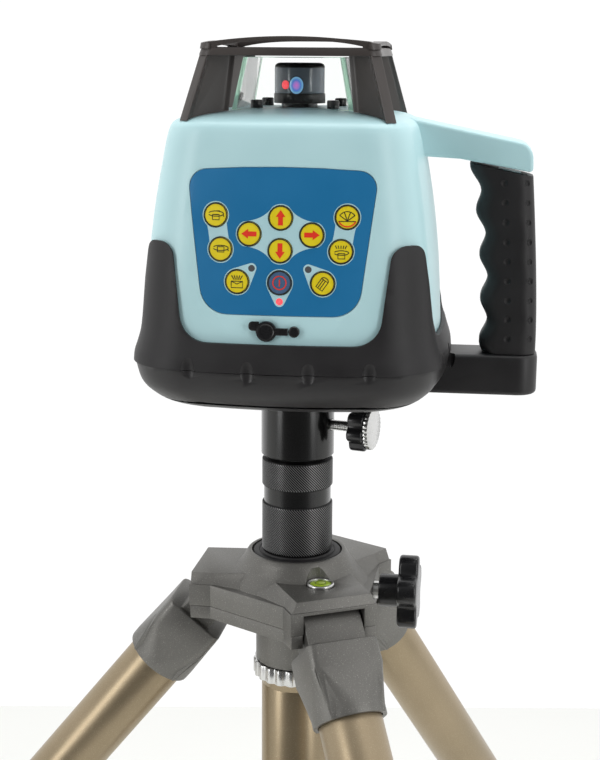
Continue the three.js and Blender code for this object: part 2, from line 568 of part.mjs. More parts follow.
function housing() {
  const outer = solid(bodyLoft([...SHELL_PROFILE, ...DOME_PROFILE]));
  const arm = solid(extrudedSideways(topArmOutline(), HANDLE.width));
  const cavityProfile = SHELL_PROFILE.filter((level, index) => index % 2 === 0)
    .map(([height, half, radius]) => [height, half - WALL, radius - WALL]);
  cavityProfile[0][0] = TRAY_HEIGHT - 1;
  cavityProfile.push([BODY_TOP - 6, 56, 20]);
  const cavity = solid(bodyLoft(cavityProfile));
  const recess = solid(frontPrism(labelOutline(GAP)))
    .subtract(solid(bodyLoft([...SHELL_PROFILE, ...DOME_PROFILE], -LABEL_DEPTH)));
  const keyHoles = Object.values(KEYS).map(([x, z]) => squareToFace(
    rod(around(BUTTON.radius, KEY_SIDES), -8, 4, KEY_SIDES), x, z));
  const port = squareToFace(rod(PLUG.hole, -8, 4, 16), PLUG.x, PLUG.z);
  const anchor = squareToFace(rod(PLUG_ANCHOR.radius, -1, PLUG_ANCHOR.proud, 14), PLUG_ANCHOR.x, PLUG.z);
  const opticsWay = rod(OPTICS.radius + 2.2, BODY_TOP - 12, BODY_TOP + 2, 24);
  const { place, radius, proud, sunk } = PLATFORM_SCREW;
  const screws = [[1, 1], [1, -1], [-1, 1], [-1, -1]].map(([sideX, sideY]) => solid(
    rod(radius, BODY_TOP - sunk, BODY_TOP + proud, 12).translate(sideX * place, sideY * place, 0)));
  const added = screws.reduce((whole, screw) => whole.add(screw), outer.add(arm).add(solid(anchor)));
  return cut(added.subtract(cavity).subtract(recess),
    [...keyHoles, port, opticsWay]);
}

function keypadPanel() {
  const skin = [...SHELL_PROFILE, ...DOME_PROFILE];
  const sheet = solid(bodyLoft(skin, -0.1)).subtract(solid(bodyLoft(skin, GAP - LABEL_DEPTH)));
  const plate = solid(frontPrism(labelOutline())).intersect(sheet);
  return cut(plate, Object.values(KEYS).map(([x, z]) => squareToFace(
    rod(around(BUTTON.radius, KEY_SIDES), -8, 4, KEY_SIDES), x, z)));
}

// The U-shaped window that each side of the boot leaves between two corner pillars.
function bootWindow() {
  const foot = 37.4;
  const outline = rounded([[-49.5, foot, 14], [49.5, foot, 14], [54.5, 78, 0], [56.5, PILLAR_TOP - 2.5, 0],
    [61, PILLAR_TOP + 4, 0], [-61, PILLAR_TOP + 4, 0], [-56.5, PILLAR_TOP - 2.5, 0], [-54.5, 78, 0]], 5);
  return frontPrism(outline);
}

function boot() {
  const outer = solid(bodyLoft(BOOT_PROFILE));
  const inner = solid(bodyLoft(SHELL_PROFILE, GAP));
  const windows = [0, 1, 2, 3].map((side) => bootWindow().rotateZ(side * Math.PI / 2));
  const floor = block([-90, -90, 0], [90, 90, TRAY_HEIGHT + GAP]);
  const core = block([-70, -70, 0], [70, 70, TRAY_HEIGHT + 6]);
  return cut(outer.subtract(inner), [floor, core, ...windows]);
}

function crown() {
  const { base, top, floor, roof, roofHeight, peak, lip } = CROWN;
  const roofTop = roof + roofHeight;
  const cornerPost = (side) => {
    const plan = (inner, outer, half) => [[inner, -half], [outer, -half], [outer, half], [inner, half]];
    const ring = (inner, outer, half, height) => plan(inner, outer, half)
      .map(([along, across]) => [along * Math.SQRT1_2 - across * Math.SQRT1_2,
        along * Math.SQRT1_2 + across * Math.SQRT1_2, height]);
    const plate = skinned([ring(35 * Math.SQRT2, base * Math.SQRT2 - 5, 4.5, floor),
      ring(31 * Math.SQRT2, top * Math.SQRT2 - 5, 4.5, roofTop - 1)]);
    return plate.rotateZ(side * Math.PI / 2);
  };
  const ringPlate = skinned([squareRing(top + 1.2, 7, 0, roof, 3, 2),
    squareRing(top - 0.4, 6.5, 0, roofTop, 3, 2)]);
  const arch = (side) => {
    const outline = [];
    const steps = 10;
    for (let step = 0; step <= steps; step++) {
      const along = -1 + 2 * step / steps;
      outline.push([along * (top - 2), roofTop + (peak - roofTop) * (1 - along * along)]);
    }
    for (let step = steps; step >= 0; step--) {
      const along = -1 + 2 * step / steps;
      outline.push([along * (top - 2), roofTop - 1 + (peak - lip - roofTop + 1) * (1 - along * along)]);
    }
    return extruded(outline, 5).rotateX(Math.PI / 2).translate(0, -top + 5.4, 0).rotateZ(side * Math.PI / 2);
  };
  const sides = [0, 1, 2, 3];
  const frame = joined([ringPlate, ...sides.map(cornerPost), ...sides.map(arch)]);
  return frame.subtract(solid(bodyLoft([...SHELL_PROFILE, ...DOME_PROFILE], GAP)).translate([0, 0, GAP]));
}

function lanternGlass() {
  const { base, top, wall, roof } = GLASS;
  const floor = CROWN.floor;
  const ring = (half, height) => squareRing(half, 1.5, 0, height, 2, 2);
  const outer = solid(skinned([ring(base, floor), ring(top, roof)]));
  const inner = solid(skinned([ring(base - wall + 0.2, floor - 1), ring(top - wall - 0.2, roof + 1)]));
  const dome = solid(bodyLoft([...SHELL_PROFILE, ...DOME_PROFILE], GAP)).translate([0, 0, GAP]);
  return outer.subtract(inner).subtract(dome);
}

function gripOutline() {
  const foot = TRAY_HEIGHT + GAP;
  const outline = [[HANDLE.outer - 1, foot], [HANDLE.outer + 0.5, foot + 14],
    [HANDLE.outer - 1.5, foot + 55]];
  const outerTop = HANDLE.outer - HANDLE.lean - 0.5;
  outline.push([outerTop, gripTop(outerTop)]);
  const inner = HANDLE.gripInner;
  outline.push([inner + 3, gripTop(inner + 3)]);
  const steps = 26;
  const high = gripTop(inner) - 3;
  for (let step = 0; step <= steps; step++) {
    const z = high + (foot + 1 - high) * step / steps;
    const phase = (z - foot - FINGERS.first) / FINGERS.pitch * 2 * Math.PI;
    outline.push([inner + FINGERS.depth / 2 - FINGERS.depth / 2 * Math.cos(phase), z]);
  }
  return outline.reverse();
}

function handleGrip() {
  const body = solid(extrudedSideways(gripOutline(), HANDLE.width - 1));
  const { inner, outer, half } = GRIP_CORE;
  return cut(body, [block([inner - GAP, -half - GAP, 0], [outer + GAP, half + GAP, 200])]);
}

function handleCore() {
  const { inner, outer, half } = GRIP_CORE;
  const foot = TRAY_HEIGHT + GAP;
  return extrudedSideways([[inner, foot], [outer, foot], [outer, gripTop(outer)], [inner, gripTop(inner)]],
    2 * half);
}

// The rubber plug, its pull tab and its strap, which bends beside the anchor on the housing.
function portPlug() {
  const { radius, thick, stem, stemLength, strap } = PLUG;
  const reach = PLUG_ANCHOR.x - PLUG_ANCHOR.radius - GAP - PLUG.x;
  const disc = rod(radius, GAP, thick + GAP, 20);
  const band = block([0, -strap, GAP], [reach, strap, thick]);
  const tab = block([-radius - 3.4, 0.6, GAP], [0, 4.4, thick]);
  const plugStem = rod(stem, -stemLength, GAP + 0.2, 16);
  const shape = joined([disc, band, tab, plugStem]);
  const { y } = facePoint(PLUG.x, PLUG.z);
  return geometryOf(shape).rotateX(Math.PI / 2).translate(PLUG.x, y - 0.4, PLUG.z);
}

function buildLaser() {
  addPiece(laser, 'base_tray', baseTray(), BLACK_PLASTIC);
  addPiece(laser, 'thread_insert', pipe(INSERT.radius, around(STUD.radius), GAP, INSERT.height - 1), BRASS);
  addPiece(laser, 'boot', boot(), RUBBER);
  addPiece(laser, 'housing', housing(), AQUA);
  addPiece(laser, 'keypad_panel', keypadPanel(), LABEL_BLUE);
  for (const [name, [x, z]] of Object.entries(KEYS)) {
    const key = rod(BUTTON.radius, BUTTON.proud - BUTTON.length, BUTTON.proud, KEY_SIDES);
    addPiece(laser, name, squareToFace(key, x, z), name === 'key_power' ? KEY_GREY : KEY_YELLOW);
  }
  addPiece(laser, 'port_plug', portPlug(), RUBBER);
  const socket = rod(PLUG.stem + 0.7, -9, -PLUG.stemLength - 0.8, 16);
  addPiece(laser, 'charge_socket', squareToFace(socket, PLUG.x, PLUG.z), BLACK_PLASTIC);
  addPiece(laser, 'crown', crown(), CROWN_PLASTIC);
  addPiece(laser, 'lantern_glass', lanternGlass(), PANE);
  addPiece(laser, 'handle_core', handleCore(), AQUA);
  addPiece(laser, 'handle_grip', handleGrip(), RUBBER);
  addPiece(laser, 'battery_pack', block([-35, 18, 4], [35, 60, 46]), BLACK_PLASTIC);
  addPiece(laser, 'main_board', block([-40, -60, 40], [40, -58.4, 120]), BOARD);
}

function buildOptics() {
  const { height, inner, outer, thick } = GIMBAL;
  addPiece(laser, 'gimbal_ring', pipe(outer, inner, height - thick / 2, height + thick / 2, 20), BRIGHT);
  const { radius, barrel, bottom, barrelTop } = OPTICS;
  addPiece(laser, 'optics_tube', turned([[0, bottom], [barrel, bottom], [barrel, barrelTop],
    [radius, barrelTop + 6], [radius, ROTOR.bottom - GAP], [0, ROTOR.bottom - GAP]], 18), BLACK_METAL);
  const { radius: wide, bottom: low, top, edge } = ROTOR;
  const cap = [];
  const steps = 3;
  for (let step = 0; step <= steps; step++) {
    const angle = step / steps * Math.PI / 2;
    cap.push([wide - edge + edge * Math.cos(angle), top - edge + edge * Math.sin(angle)]);
  }
  addPiece(laser, 'rotor_head', turned([[0, low], [wide + 0.3, low], [wide + 0.3, low + 5], [wide, low + 5.4],
    ...cap, [0, top]]), BLACK_METAL);
}

buildShoulder();
buildMastLock();
for (let index = 0; index < LEG_COUNT; index++) buildLeg(index);
buildMast();
buildLaser();
buildOptics();

export default group;
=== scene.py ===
"""Laser level on an elevator tripod: its finishes, detailed pieces, studio and camera."""

import math
from contextlib import contextmanager

import bmesh
import bpy
from mathutils import Matrix, Vector


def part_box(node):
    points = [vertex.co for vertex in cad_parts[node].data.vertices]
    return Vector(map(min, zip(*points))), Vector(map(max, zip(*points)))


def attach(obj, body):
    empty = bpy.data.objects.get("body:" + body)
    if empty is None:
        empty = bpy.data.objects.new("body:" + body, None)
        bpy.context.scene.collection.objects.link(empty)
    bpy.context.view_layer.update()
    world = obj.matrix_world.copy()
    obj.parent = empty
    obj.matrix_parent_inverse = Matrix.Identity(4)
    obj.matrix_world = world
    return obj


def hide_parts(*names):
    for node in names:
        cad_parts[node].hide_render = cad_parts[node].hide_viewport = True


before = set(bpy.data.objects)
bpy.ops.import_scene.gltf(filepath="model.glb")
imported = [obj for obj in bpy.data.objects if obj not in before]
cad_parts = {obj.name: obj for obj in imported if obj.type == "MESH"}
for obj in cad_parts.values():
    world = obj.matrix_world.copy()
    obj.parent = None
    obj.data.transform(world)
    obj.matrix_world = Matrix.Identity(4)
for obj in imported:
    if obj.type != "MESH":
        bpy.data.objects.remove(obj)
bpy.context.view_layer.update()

MM = 0.001
LASER_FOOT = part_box("base_tray")[0].z / MM        # height of the laser's foot above the floor, mm
TURN = 2 * math.pi


# ---- Modelling helpers: everything is drawn in millimetres and brought to metres at the end ----
def start(add, **values):
    """Adds a primitive with nothing else selected."""
    bpy.ops.object.select_all(action="DESELECT")
    add(**values)
    return bpy.context.object


def only(piece):
    bpy.ops.object.select_all(action="DESELECT")
    piece.select_set(True)
    bpy.context.view_layer.objects.active = piece


@contextmanager
def editing(piece):
    only(piece)
    bpy.ops.object.mode_set(mode="EDIT")
    bpy.ops.mesh.select_mode(type="VERT")
    yield
    bpy.ops.object.mode_set(mode="OBJECT")


def pick(kind, test):
    """In edit mode, selects only the points, edges or faces whose middle and normal pass the test."""
    mesh = bpy.context.edit_object.data
    shape = bmesh.from_edit_mesh(mesh)
    bpy.ops.mesh.select_mode(type=kind)
    bpy.ops.mesh.select_all(action="DESELECT")
    if kind == "FACE":
        parts = [(face, face.calc_center_median(), face.normal) for face in shape.faces]
    elif kind == "EDGE":
        parts = [(edge, (edge.verts[0].co + edge.verts[1].co) / 2, edge.verts[1].co - edge.verts[0].co)
                 for edge in shape.edges]
    else:
        parts = [(point, point.co, point.normal) for point in shape.verts]
    for part, middle, normal in parts:
        part.select_set(bool(test(middle, normal)))
    shape.select_flush_mode()
    bmesh.update_edit_mesh(mesh)


def take_all():
    bpy.ops.mesh.select_all(action="SELECT")


def face_outward():
    bpy.ops.mesh.normals_make_consistent(inside=False)


def extrude(x=0.0, y=0.0, z=0.0):
    bpy.ops.mesh.extrude_region_move(TRANSFORM_OT_translate={"value": (x, y, z)})


def scale_about(centre, x, y, z=1.0):
    bpy.ops.transform.resize(value=(x, y, z), center_override=centre)


def put(piece, move=(0, 0, 0), turn=(0, 0, 0)):
    """Moves and turns a piece, angles in degrees, and settles it into its mesh."""
    only(piece)
    piece.location = move
    piece.rotation_euler = [math.radians(angle) for angle in turn]
    bpy.ops.object.transform_apply(location=True, rotation=True, scale=True)
    return piece


def copied(piece, move=(0, 0, 0), turn=(0, 0, 0)):
    only(piece)
    bpy.ops.object.duplicate(linked=False)
    return put(bpy.context.object, move, turn)


def all_round(piece, count, first=0.0, move=(0, 0, 0)):
    """The piece and its copies, turned evenly about the Z axis."""
    put(piece, move)
    copies = [copied(piece, turn=(0, 0, first + index * 360 / count)) for index in range(1, count)]
    return [put(piece, turn=(0, 0, first)), *copies]


def together(pieces):
    """Joins pieces into the first one without cutting them."""
    bpy.ops.object.select_all(action="DESELECT")
    for piece in pieces:
        piece.select_set(True)
    bpy.context.view_layer.objects.active = pieces[0]
    if len(pieces) > 1:
        bpy.ops.object.join()
    return pieces[0]


def modify(piece, kind, **settings):
    only(piece)
    modifier = piece.modifiers.new(kind.lower(), kind)
    for key, value in settings.items():
        setattr(modifier, key, value)
    bpy.ops.object.modifier_apply(modifier=modifier.name)
    return piece


def combine(piece, others, operation):
    for other in others:
        modify(piece, "BOOLEAN", operation=operation, solver="EXACT", object=other)
        bpy.data.objects.remove(other)
    return piece


def cut(piece, *tools):
    return combine(piece, tools, "DIFFERENCE")


def fused(piece, *others):
    return combine(piece, others, "UNION")


def soften(piece, width, segments=2, angle=32):
    """Rounds every edge sharper than the angle."""
    return modify(piece, "BEVEL", width=width, segments=segments, limit_method="ANGLE",
                  angle_limit=math.radians(angle), use_clamp_overlap=True, harden_normals=False)


def tidy_mesh(piece, distance=0.003):
    with editing(piece):
        take_all()
        bpy.ops.mesh.remove_doubles(threshold=distance)
        bpy.ops.mesh.dissolve_degenerate(threshold=distance)
        face_outward()
    return piece


def turned(profile, sides=64, closed=False):
    """A turned shape: a disc, or a ring when closed, drawn up through [radius, height] points."""
    (radius, height), rest = profile[0], profile[1:]
    piece = start(bpy.ops.mesh.primitive_circle_add, vertices=sides, radius=radius,
                  fill_type="NOTHING" if closed else "NGON", location=(0, 0, 0))
    with editing(piece):
        take_all()
        bpy.ops.transform.translate(value=(0, 0, height))
        for next_radius, next_height in rest + ([profile[0]] if closed else []):
            extrude(z=next_height - height)
            if next_radius != radius:
                share = next_radius / radius
                scale_about((0, 0, next_height), share, share)
            radius, height = next_radius, next_height
        if closed:
            take_all()
            bpy.ops.mesh.remove_doubles(threshold=0.001)
    return tidy_mesh(piece)


def pipe(outer, inner, low, high, sides=64):
    return turned([[inner, low], [outer, low], [outer, high], [inner, high]], sides, closed=True)


def along_heading(piece, heading, height):
    """A piece turned about Z is laid with its top pointing along a level heading."""
    put(piece, turn=(0, 90, 0))
    return put(piece, move=(0, 0, height), turn=(0, 0, heading))


def drawn(points, depth):
    """An outline drawn point by point in X and Y, filled and raised along Z by the depth."""
    piece = start(bpy.ops.mesh.primitive_plane_add, size=1)
    with editing(piece):
        take_all()
        bpy.ops.mesh.merge(type="CENTER")
        take_all()
        bpy.ops.transform.translate(value=(*points[0], 0))
        for (x0, y0), (x1, y1) in zip(points, points[1:]):
            extrude(x1 - x0, y1 - y0)
        take_all()
        bpy.ops.mesh.edge_face_add()
        if depth:
            extrude(z=depth)
            take_all()
            face_outward()
    return piece


def rounded(corners, steps=6):
    """Points of an outline whose corners are [x, y, radius]."""
    points = []
    for index, (x, y, radius) in enumerate(corners):
        corner = Vector((x, y))
        if not radius:
            points.append((x, y))
            continue
        before, after = Vector(corners[index - 1][:2]), Vector(corners[(index + 1) % len(corners)][:2])
        to_before, to_after = (before - corner).normalized(), (after - corner).normalized()
        half = to_before.angle(to_after) / 2
        reach = radius / math.tan(half)
        first, last = corner + to_before * reach, corner + to_after * reach
        centre = corner + (to_before + to_after).normalized() * radius / math.sin(half)
        turn_from = math.atan2(*(first - centre).yx)
        sweep = (math.atan2(*(last - centre).yx) - turn_from + math.pi) % TURN - math.pi
        for step in range(steps + 1):
            angle = turn_from + sweep * step / steps
            points.append((centre.x + radius * math.cos(angle), centre.y + radius * math.sin(angle)))
    return points


def arc(centre, radius, start_angle, sweep, steps=16):
    """Points of an arc, angles in degrees."""
    return [(centre[0] + radius * math.cos(math.radians(start_angle + sweep * step / steps)),
             centre[1] + radius * math.sin(math.radians(start_angle + sweep * step / steps)))
            for step in range(steps + 1)]


SIDE_BULGE = 3.0       # how far the middle of each side stands proud of a flat side


def square_stack(profile, grow=0.0, bulge=SIDE_BULGE, corner_steps=10, side_cuts=9):
    """A soft-cornered square drawn up through [height, half-width, corner radius] levels."""
    height, half, radius = profile[0]
    half, radius = half + grow, radius + grow
    piece = start(bpy.ops.mesh.primitive_plane_add, size=2 * half)
    with editing(piece):
        take_all()
        bpy.ops.transform.translate(value=(0, 0, height))
        bpy.ops.mesh.bevel(offset=radius, segments=corner_steps, affect="VERTICES")
        straight = half - radius
        if bulge and side_cuts:
            pick("EDGE", lambda middle, run: run.length > straight)
            bpy.ops.mesh.subdivide(number_cuts=side_cuts)
            for axis in (0, 1):
                for side in (-1, 1):
                    pick("VERT", lambda point, normal: abs(point[axis] - side * half) < 0.01
                         and abs(point[1 - axis]) < 0.01)
                    push = [0.0, 0.0, 0.0]
                    push[axis] = side * bulge
                    bpy.ops.transform.translate(value=push, use_proportional_edit=True,
                                                proportional_edit_falloff="INVERSE_SQUARE",
                                                proportional_size=straight)
        bpy.ops.mesh.select_mode(type="FACE")
        take_all()
        reach = half + bulge
        for next_height, next_half, _ in profile[1:]:
            extrude(z=next_height - height)
            share = (next_half + grow + bulge) / reach
            scale_about((0, 0, next_height), share, share)
            height, reach = next_height, next_half + grow + bulge
    return tidy_mesh(piece)


def facing_front(piece, y=-45.0):
    """Lays a drawing made in X and Y upright, so that its depth runs towards -Y from the given y."""
    put(piece, turn=(90, 0, 0))
    return put(piece, move=(0, y, 0))


def finish(piece, name, body, nodes, materials, move=(0, 0, 0), matrix=None, smooth=35):
    """Names a piece, brings it to metres, gives it its finish and hangs it on its body."""
    if materials is not None:
        piece.data.materials.clear()
        for material in materials if isinstance(materials, (list, tuple)) else [materials]:
            piece.data.materials.append(material)
    put(piece, move)
    if matrix is not None:
        piece.data.transform(matrix)
    only(piece)
    piece.scale = (MM, MM, MM)
    bpy.ops.object.transform_apply(location=True, rotation=True, scale=True)
    bpy.ops.object.shade_smooth_by_angle(angle=math.radians(smooth))
    piece.name = name
    piece.data.name = name
    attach(piece, body)
    if nodes:
        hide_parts(*nodes)
    return piece


# ---- Finishes ----
def blank(name):
    material = bpy.data.materials.new(name)
    material.use_nodes = True
    tree = material.node_tree
    return material, tree, tree.nodes["Principled BSDF"]


def node(tree, kind, inputs=None, **settings):
    """Adds a shader node; an input is a constant or another node's output."""
    made = tree.nodes.new("ShaderNode" + kind)
    for key, value in settings.items():
        setattr(made, key, value)
    for key, value in (inputs or {}).items():
        if isinstance(value, bpy.types.NodeSocket):
            tree.links.new(value, made.inputs[key])
        else:
            made.inputs[key].default_value = value
    return made.outputs


def placed(tree, scale=(1, 1, 1)):
    """Object coordinates in metres, stretched."""
    return node(tree, "Mapping", {"Vector": node(tree, "TexCoord")["Object"], "Scale": scale})["Vector"]


def noise(tree, vector, size_mm, detail=3.0, roughness=0.55):
    """Noise whose blotches are about this many millimetres across."""
    return node(tree, "TexNoise", {"Vector": vector, "Scale": 1 / (size_mm * MM), "Detail": detail,
                                   "Roughness": roughness})["Fac"]


def spread(tree, value, low, high, to_low, to_high):
    return node(tree, "MapRange", {"Value": value, "From Min": low, "From Max": high,
                                   "To Min": to_low, "To Max": to_high})["Result"]


def ramp(tree, value, stops):
    made = tree.nodes.new("ShaderNodeValToRGB")
    tree.links.new(value, made.inputs["Fac"])
    elements = made.color_ramp.elements
    while len(elements) < len(stops):
        elements.new(0.5)
    for element, (place, color) in zip(elements, stops):
        element.position = place
        element.color = (*color, 1)
    return made.outputs["Color"]


def bump(tree, height, strength, depth_mm):
    return node(tree, "Bump", {"Height": height, "Strength": strength, "Distance": depth_mm * MM})["Normal"]


def settle(shader, **values):
    for key, value in values.items():
        socket = shader.inputs[key.replace("_", " ")]
        if isinstance(value, bpy.types.NodeSocket):
            shader.id_data.links.new(value, socket)
        else:
            socket.default_value = value


def grained(name, colors, rough, grain_mm, grain_depth, metallic=0.0, blotch_mm=30.0, fleck=None,
            coat=0.0, stretch=(1, 1, 1), specular=0.5, grain_strength=0.6):
    """A finish with slow colour change, fine grain in the surface and, if named, flecks."""
    material, tree, shader = blank(name)
    where = placed(tree)
    slow = noise(tree, where, blotch_mm, 2.0)
    color = ramp(tree, slow, [(0.3, colors[0]), (0.7, colors[1])])
    if fleck:
        fleck_color, fleck_mm, low, high = fleck
        spots = spread(tree, noise(tree, where, fleck_mm, 2.0, 0.7), low, high, 0.0, 1.0)
        color = node(tree, "Mix", {0: spots, 6: color, 7: (*fleck_color, 1)}, data_type="RGBA")[2]
    fine = noise(tree, placed(tree, stretch), grain_mm, 4.0, 0.6)
    settle(shader, Base_Color=color, Metallic=metallic,
           Roughness=spread(tree, slow, 0.3, 0.7, rough[0], rough[1]),
           Normal=bump(tree, fine, grain_strength, grain_depth),
           Specular_IOR_Level=specular, Coat_Weight=coat, Coat_Roughness=0.18)
    return material


AQUA = grained("aqua_moulded_shell", [(0.495, 0.750, 0.785), (0.520, 0.775, 0.810)], (0.36, 0.44),
               0.5, 0.03, grain_strength=0.35, coat=0.08)
RUBBER = grained("moulded_rubber", [(0.014, 0.013, 0.014), (0.020, 0.019, 0.020)], (0.46, 0.56), 0.35, 0.05,
                 fleck=((0.05, 0.05, 0.05), 0.8, 0.72, 0.80), grain_strength=0.5, specular=0.35)
TRAY_PLASTIC = grained("tray_plastic", [(0.016, 0.015, 0.016), (0.022, 0.021, 0.022)], (0.36, 0.46), 0.4,
                       0.04, grain_strength=0.4, specular=0.4)
BLACK_PLASTIC = grained("black_knob_plastic", [(0.007, 0.007, 0.008), (0.011, 0.011, 0.012)], (0.20, 0.30),
                        0.5, 0.03, grain_strength=0.3)
CROWN_PLASTIC = grained("crown_plastic", [(0.048, 0.040, 0.037), (0.060, 0.051, 0.047)], (0.34, 0.46), 0.45,
                        0.05, grain_strength=0.5)
CASTING = grained("powder_paint_casting", [(0.160, 0.156, 0.145), (0.190, 0.185, 0.172)], (0.42, 0.50),
                  0.8, 0.14, metallic=0.65, fleck=((0.42, 0.41, 0.38), 0.55, 0.60, 0.74), grain_strength=0.8)
CHAMPAGNE = grained("champagne_anodised", [(0.31, 0.245, 0.155), (0.36, 0.285, 0.185)], (0.30, 0.38), 0.4,
                    0.02, metallic=0.75, blotch_mm=60, grain_strength=0.4,
                    fleck=((0.48, 0.40, 0.28), 0.5, 0.55, 0.75))
SLEEVE_BLACK = grained("glossy_black_anodised", [(0.003, 0.003, 0.003), (0.005, 0.005, 0.005)], (0.14, 0.20),
                       0.6, 0.01, metallic=0.0, stretch=(0.02, 0.02, 6), grain_strength=0.2, coat=0.4)
BRIGHT = grained("bright_plated_metal", [(0.60, 0.60, 0.59), (0.70, 0.70, 0.69)], (0.20, 0.34), 0.3, 0.01,
                 metallic=1.0, stretch=(1, 1, 8), grain_strength=0.3)
BRASS = grained("turned_brass", [(0.62, 0.44, 0.16), (0.70, 0.50, 0.20)], (0.24, 0.34), 0.3, 0.01,
                metallic=1.0, stretch=(1, 1, 8))
BOARD = grained("circuit_board_green", [(0.015, 0.13, 0.045), (0.02, 0.17, 0.06)], (0.35, 0.5), 0.6, 0.03,
                fleck=((0.55, 0.42, 0.18), 2.2, 0.66, 0.68))
LABEL_BLUE = grained("label_blue", [(0.011, 0.165, 0.370), (0.014, 0.178, 0.395)], (0.38, 0.46), 0.5, 0.02,
                     specular=0.35, grain_strength=0.3)
PRINT_AQUA = grained("printed_pale_aqua", [(0.45, 0.70, 0.75), (0.48, 0.73, 0.78)], (0.40, 0.48), 0.5, 0.02,
                     grain_strength=0.3)
KEY_YELLOW = grained("key_yellow", [(0.80, 0.64, 0.012), (0.86, 0.69, 0.016)], (0.34, 0.42), 0.5, 0.02,
                     blotch_mm=6, grain_strength=0.3)
KEY_GREY = grained("key_blue_grey", [(0.060, 0.125, 0.235), (0.072, 0.140, 0.255)], (0.34, 0.42), 0.5, 0.02,
                   blotch_mm=6, grain_strength=0.3)
INK_DARK = grained("printed_dark_ink", [(0.020, 0.018, 0.012), (0.03, 0.026, 0.018)], (0.4, 0.5), 0.5, 0.01)
INK_RED = grained("printed_red_ink", [(0.80, 0.035, 0.012), (0.86, 0.045, 0.016)], (0.4, 0.5), 0.5, 0.01)
LAMP_GREY = grained("lamp_unlit", [(0.085, 0.085, 0.09), (0.10, 0.10, 0.105)], (0.25, 0.3), 0.5, 0.01)


def lit_lamp():
    material, tree, shader = blank("lamp_lit_red")
    glow = noise(tree, placed(tree), 1.2, 1.0)
    settle(shader, Base_Color=ramp(tree, glow, [(0.3, (0.85, 0.04, 0.05)), (0.7, (0.95, 0.16, 0.18))]),
           Roughness=0.3)
    shader.inputs["Emission Color"].default_value = (1.0, 0.08, 0.10, 1)
    shader.inputs["Emission Strength"].default_value = 0.7
    return material


def knurl_finish():
    """Black steel whose raised tips are coloured bright as a painted highlight; height is read from the mast's
    axis.
    """
    material, tree, shader = blank("knurled_black_steel")
    place = node(tree, "SeparateXYZ", {"Vector": placed(tree)})
    flat = node(tree, "CombineXYZ", {"X": place["X"], "Y": place["Y"]})["Vector"]
    reach = node(tree, "VectorMath", {0: flat}, operation="LENGTH")["Value"]
    height = spread(tree, reach, KNURL_ROOT * MM, KNURL_TIP * MM, 0.0, 1.0)
    # painted highlight: the colour brightens from the knurl's roots to its raised tips, standing in for glints
    # on them
    color = ramp(tree, height, [(0.25, (0.006, 0.006, 0.006)), (0.6, (0.05, 0.05, 0.051)),
                                (0.95, (0.34, 0.34, 0.34))])
    settle(shader, Base_Color=color, Metallic=0.6, Roughness=spread(tree, height, 0, 1, 0.5, 0.3))
    return material


def clear(name, tint, rough=0.02, transmission=1.0, grain=0.004, bend=1.47):
    material, tree, shader = blank(name)
    where = placed(tree)
    slow = noise(tree, where, 25, 2.0)
    pale = tuple(min(1.0, part * 1.02) for part in tint)
    settle(shader, Base_Color=ramp(tree, slow, [(0.3, tint), (0.7, pale)]),
           Roughness=spread(tree, slow, 0.3, 0.7, rough, rough + 0.02),
           Normal=bump(tree, noise(tree, where, 8, 2.0), 0.2, grain),
           Transmission_Weight=transmission, IOR=bend)
    return material


def lens():
    """A coated lens: magenta in the middle, blue towards the rim, set by the distance from its middle. Its
    colour also feeds emission, a painted glow.
    """
    material, tree, shader = blank("coated_lens")
    place = node(tree, "SeparateXYZ", {"Vector": placed(tree)})
    middle_x, middle_z = LENS_PLACE[0] * MM, (LASER_FOOT + LENS_PLACE[2]) * MM
    across = node(tree, "Math", {0: place["X"], 1: middle_x}, operation="SUBTRACT")["Value"]
    rise = node(tree, "Math", {0: place["Z"], 1: middle_z}, operation="SUBTRACT")["Value"]
    upward = node(tree, "Math", {0: rise, 1: LENS_STRETCH}, operation="DIVIDE")["Value"]
    away = node(tree, "Math", {0: node(tree, "Math", {0: across, 1: across}, operation="MULTIPLY")["Value"],
                               1: node(tree, "Math", {0: upward, 1: upward}, operation="MULTIPLY")["Value"]},
                operation="ADD")["Value"]
    reach = node(tree, "Math", {0: away}, operation="SQRT")["Value"]
    share = spread(tree, reach, 0.0, LENS_RADIUS * MM, 0.0, 1.0)
    color = ramp(tree, share, [(0.0, (0.85, 0.25, 0.85)), (0.35, (0.55, 0.30, 0.90)), (0.6, (0.10, 0.30, 0.90)),
                               (0.9, (0.30, 0.65, 0.95)), (1.0, (0.05, 0.10, 0.25))])
    settle(shader, Base_Color=color, Roughness=spread(tree, share, 0, 1, 0.06, 0.12), Coat_Weight=1.0)
    # painted glow: the coating colour also drives emission, so the lens lights up although it is no lamp
    tree.links.new(color, shader.inputs["Emission Color"])
    shader.inputs["Emission Strength"].default_value = 0.35
    return material


KNURL_ROOT, KNURL_TIP = 19.15, 19.8
LENS_PLACE = (-0.1, -13.35, 163.0)
LENS_RADIUS = 3.8
LENS_STRETCH = 1.2                                # how much taller than wide the lens is
KNURL_BLACK = knurl_finish()
LAMP_RED = lit_lamp()
PANE = clear("lantern_pane", (0.980, 0.998, 0.988), bend=1.2)
PANE_EDGE = clear("lantern_pane_edge", (0.60, 0.90, 0.72), rough=0.12, transmission=0.7, bend=1.3)
FLUID = clear("level_fluid", (0.50, 0.72, 0.03), transmission=0.25)
BUBBLE = clear("level_bubble", (0.70, 0.86, 0.20), transmission=0.25)
LENS_COAT = lens()
ROTOR_GLOSS = grained("rotor_window", [(0.150, 0.185, 0.225), (0.180, 0.215, 0.255)], (0.14, 0.22), 0.8, 0.004,
                      coat=0.5, grain_strength=0.2)
ROTOR_BASE = grained("rotor_base", [(0.020, 0.019, 0.018), (0.028, 0.027, 0.025)], (0.32, 0.42), 0.5, 0.02)


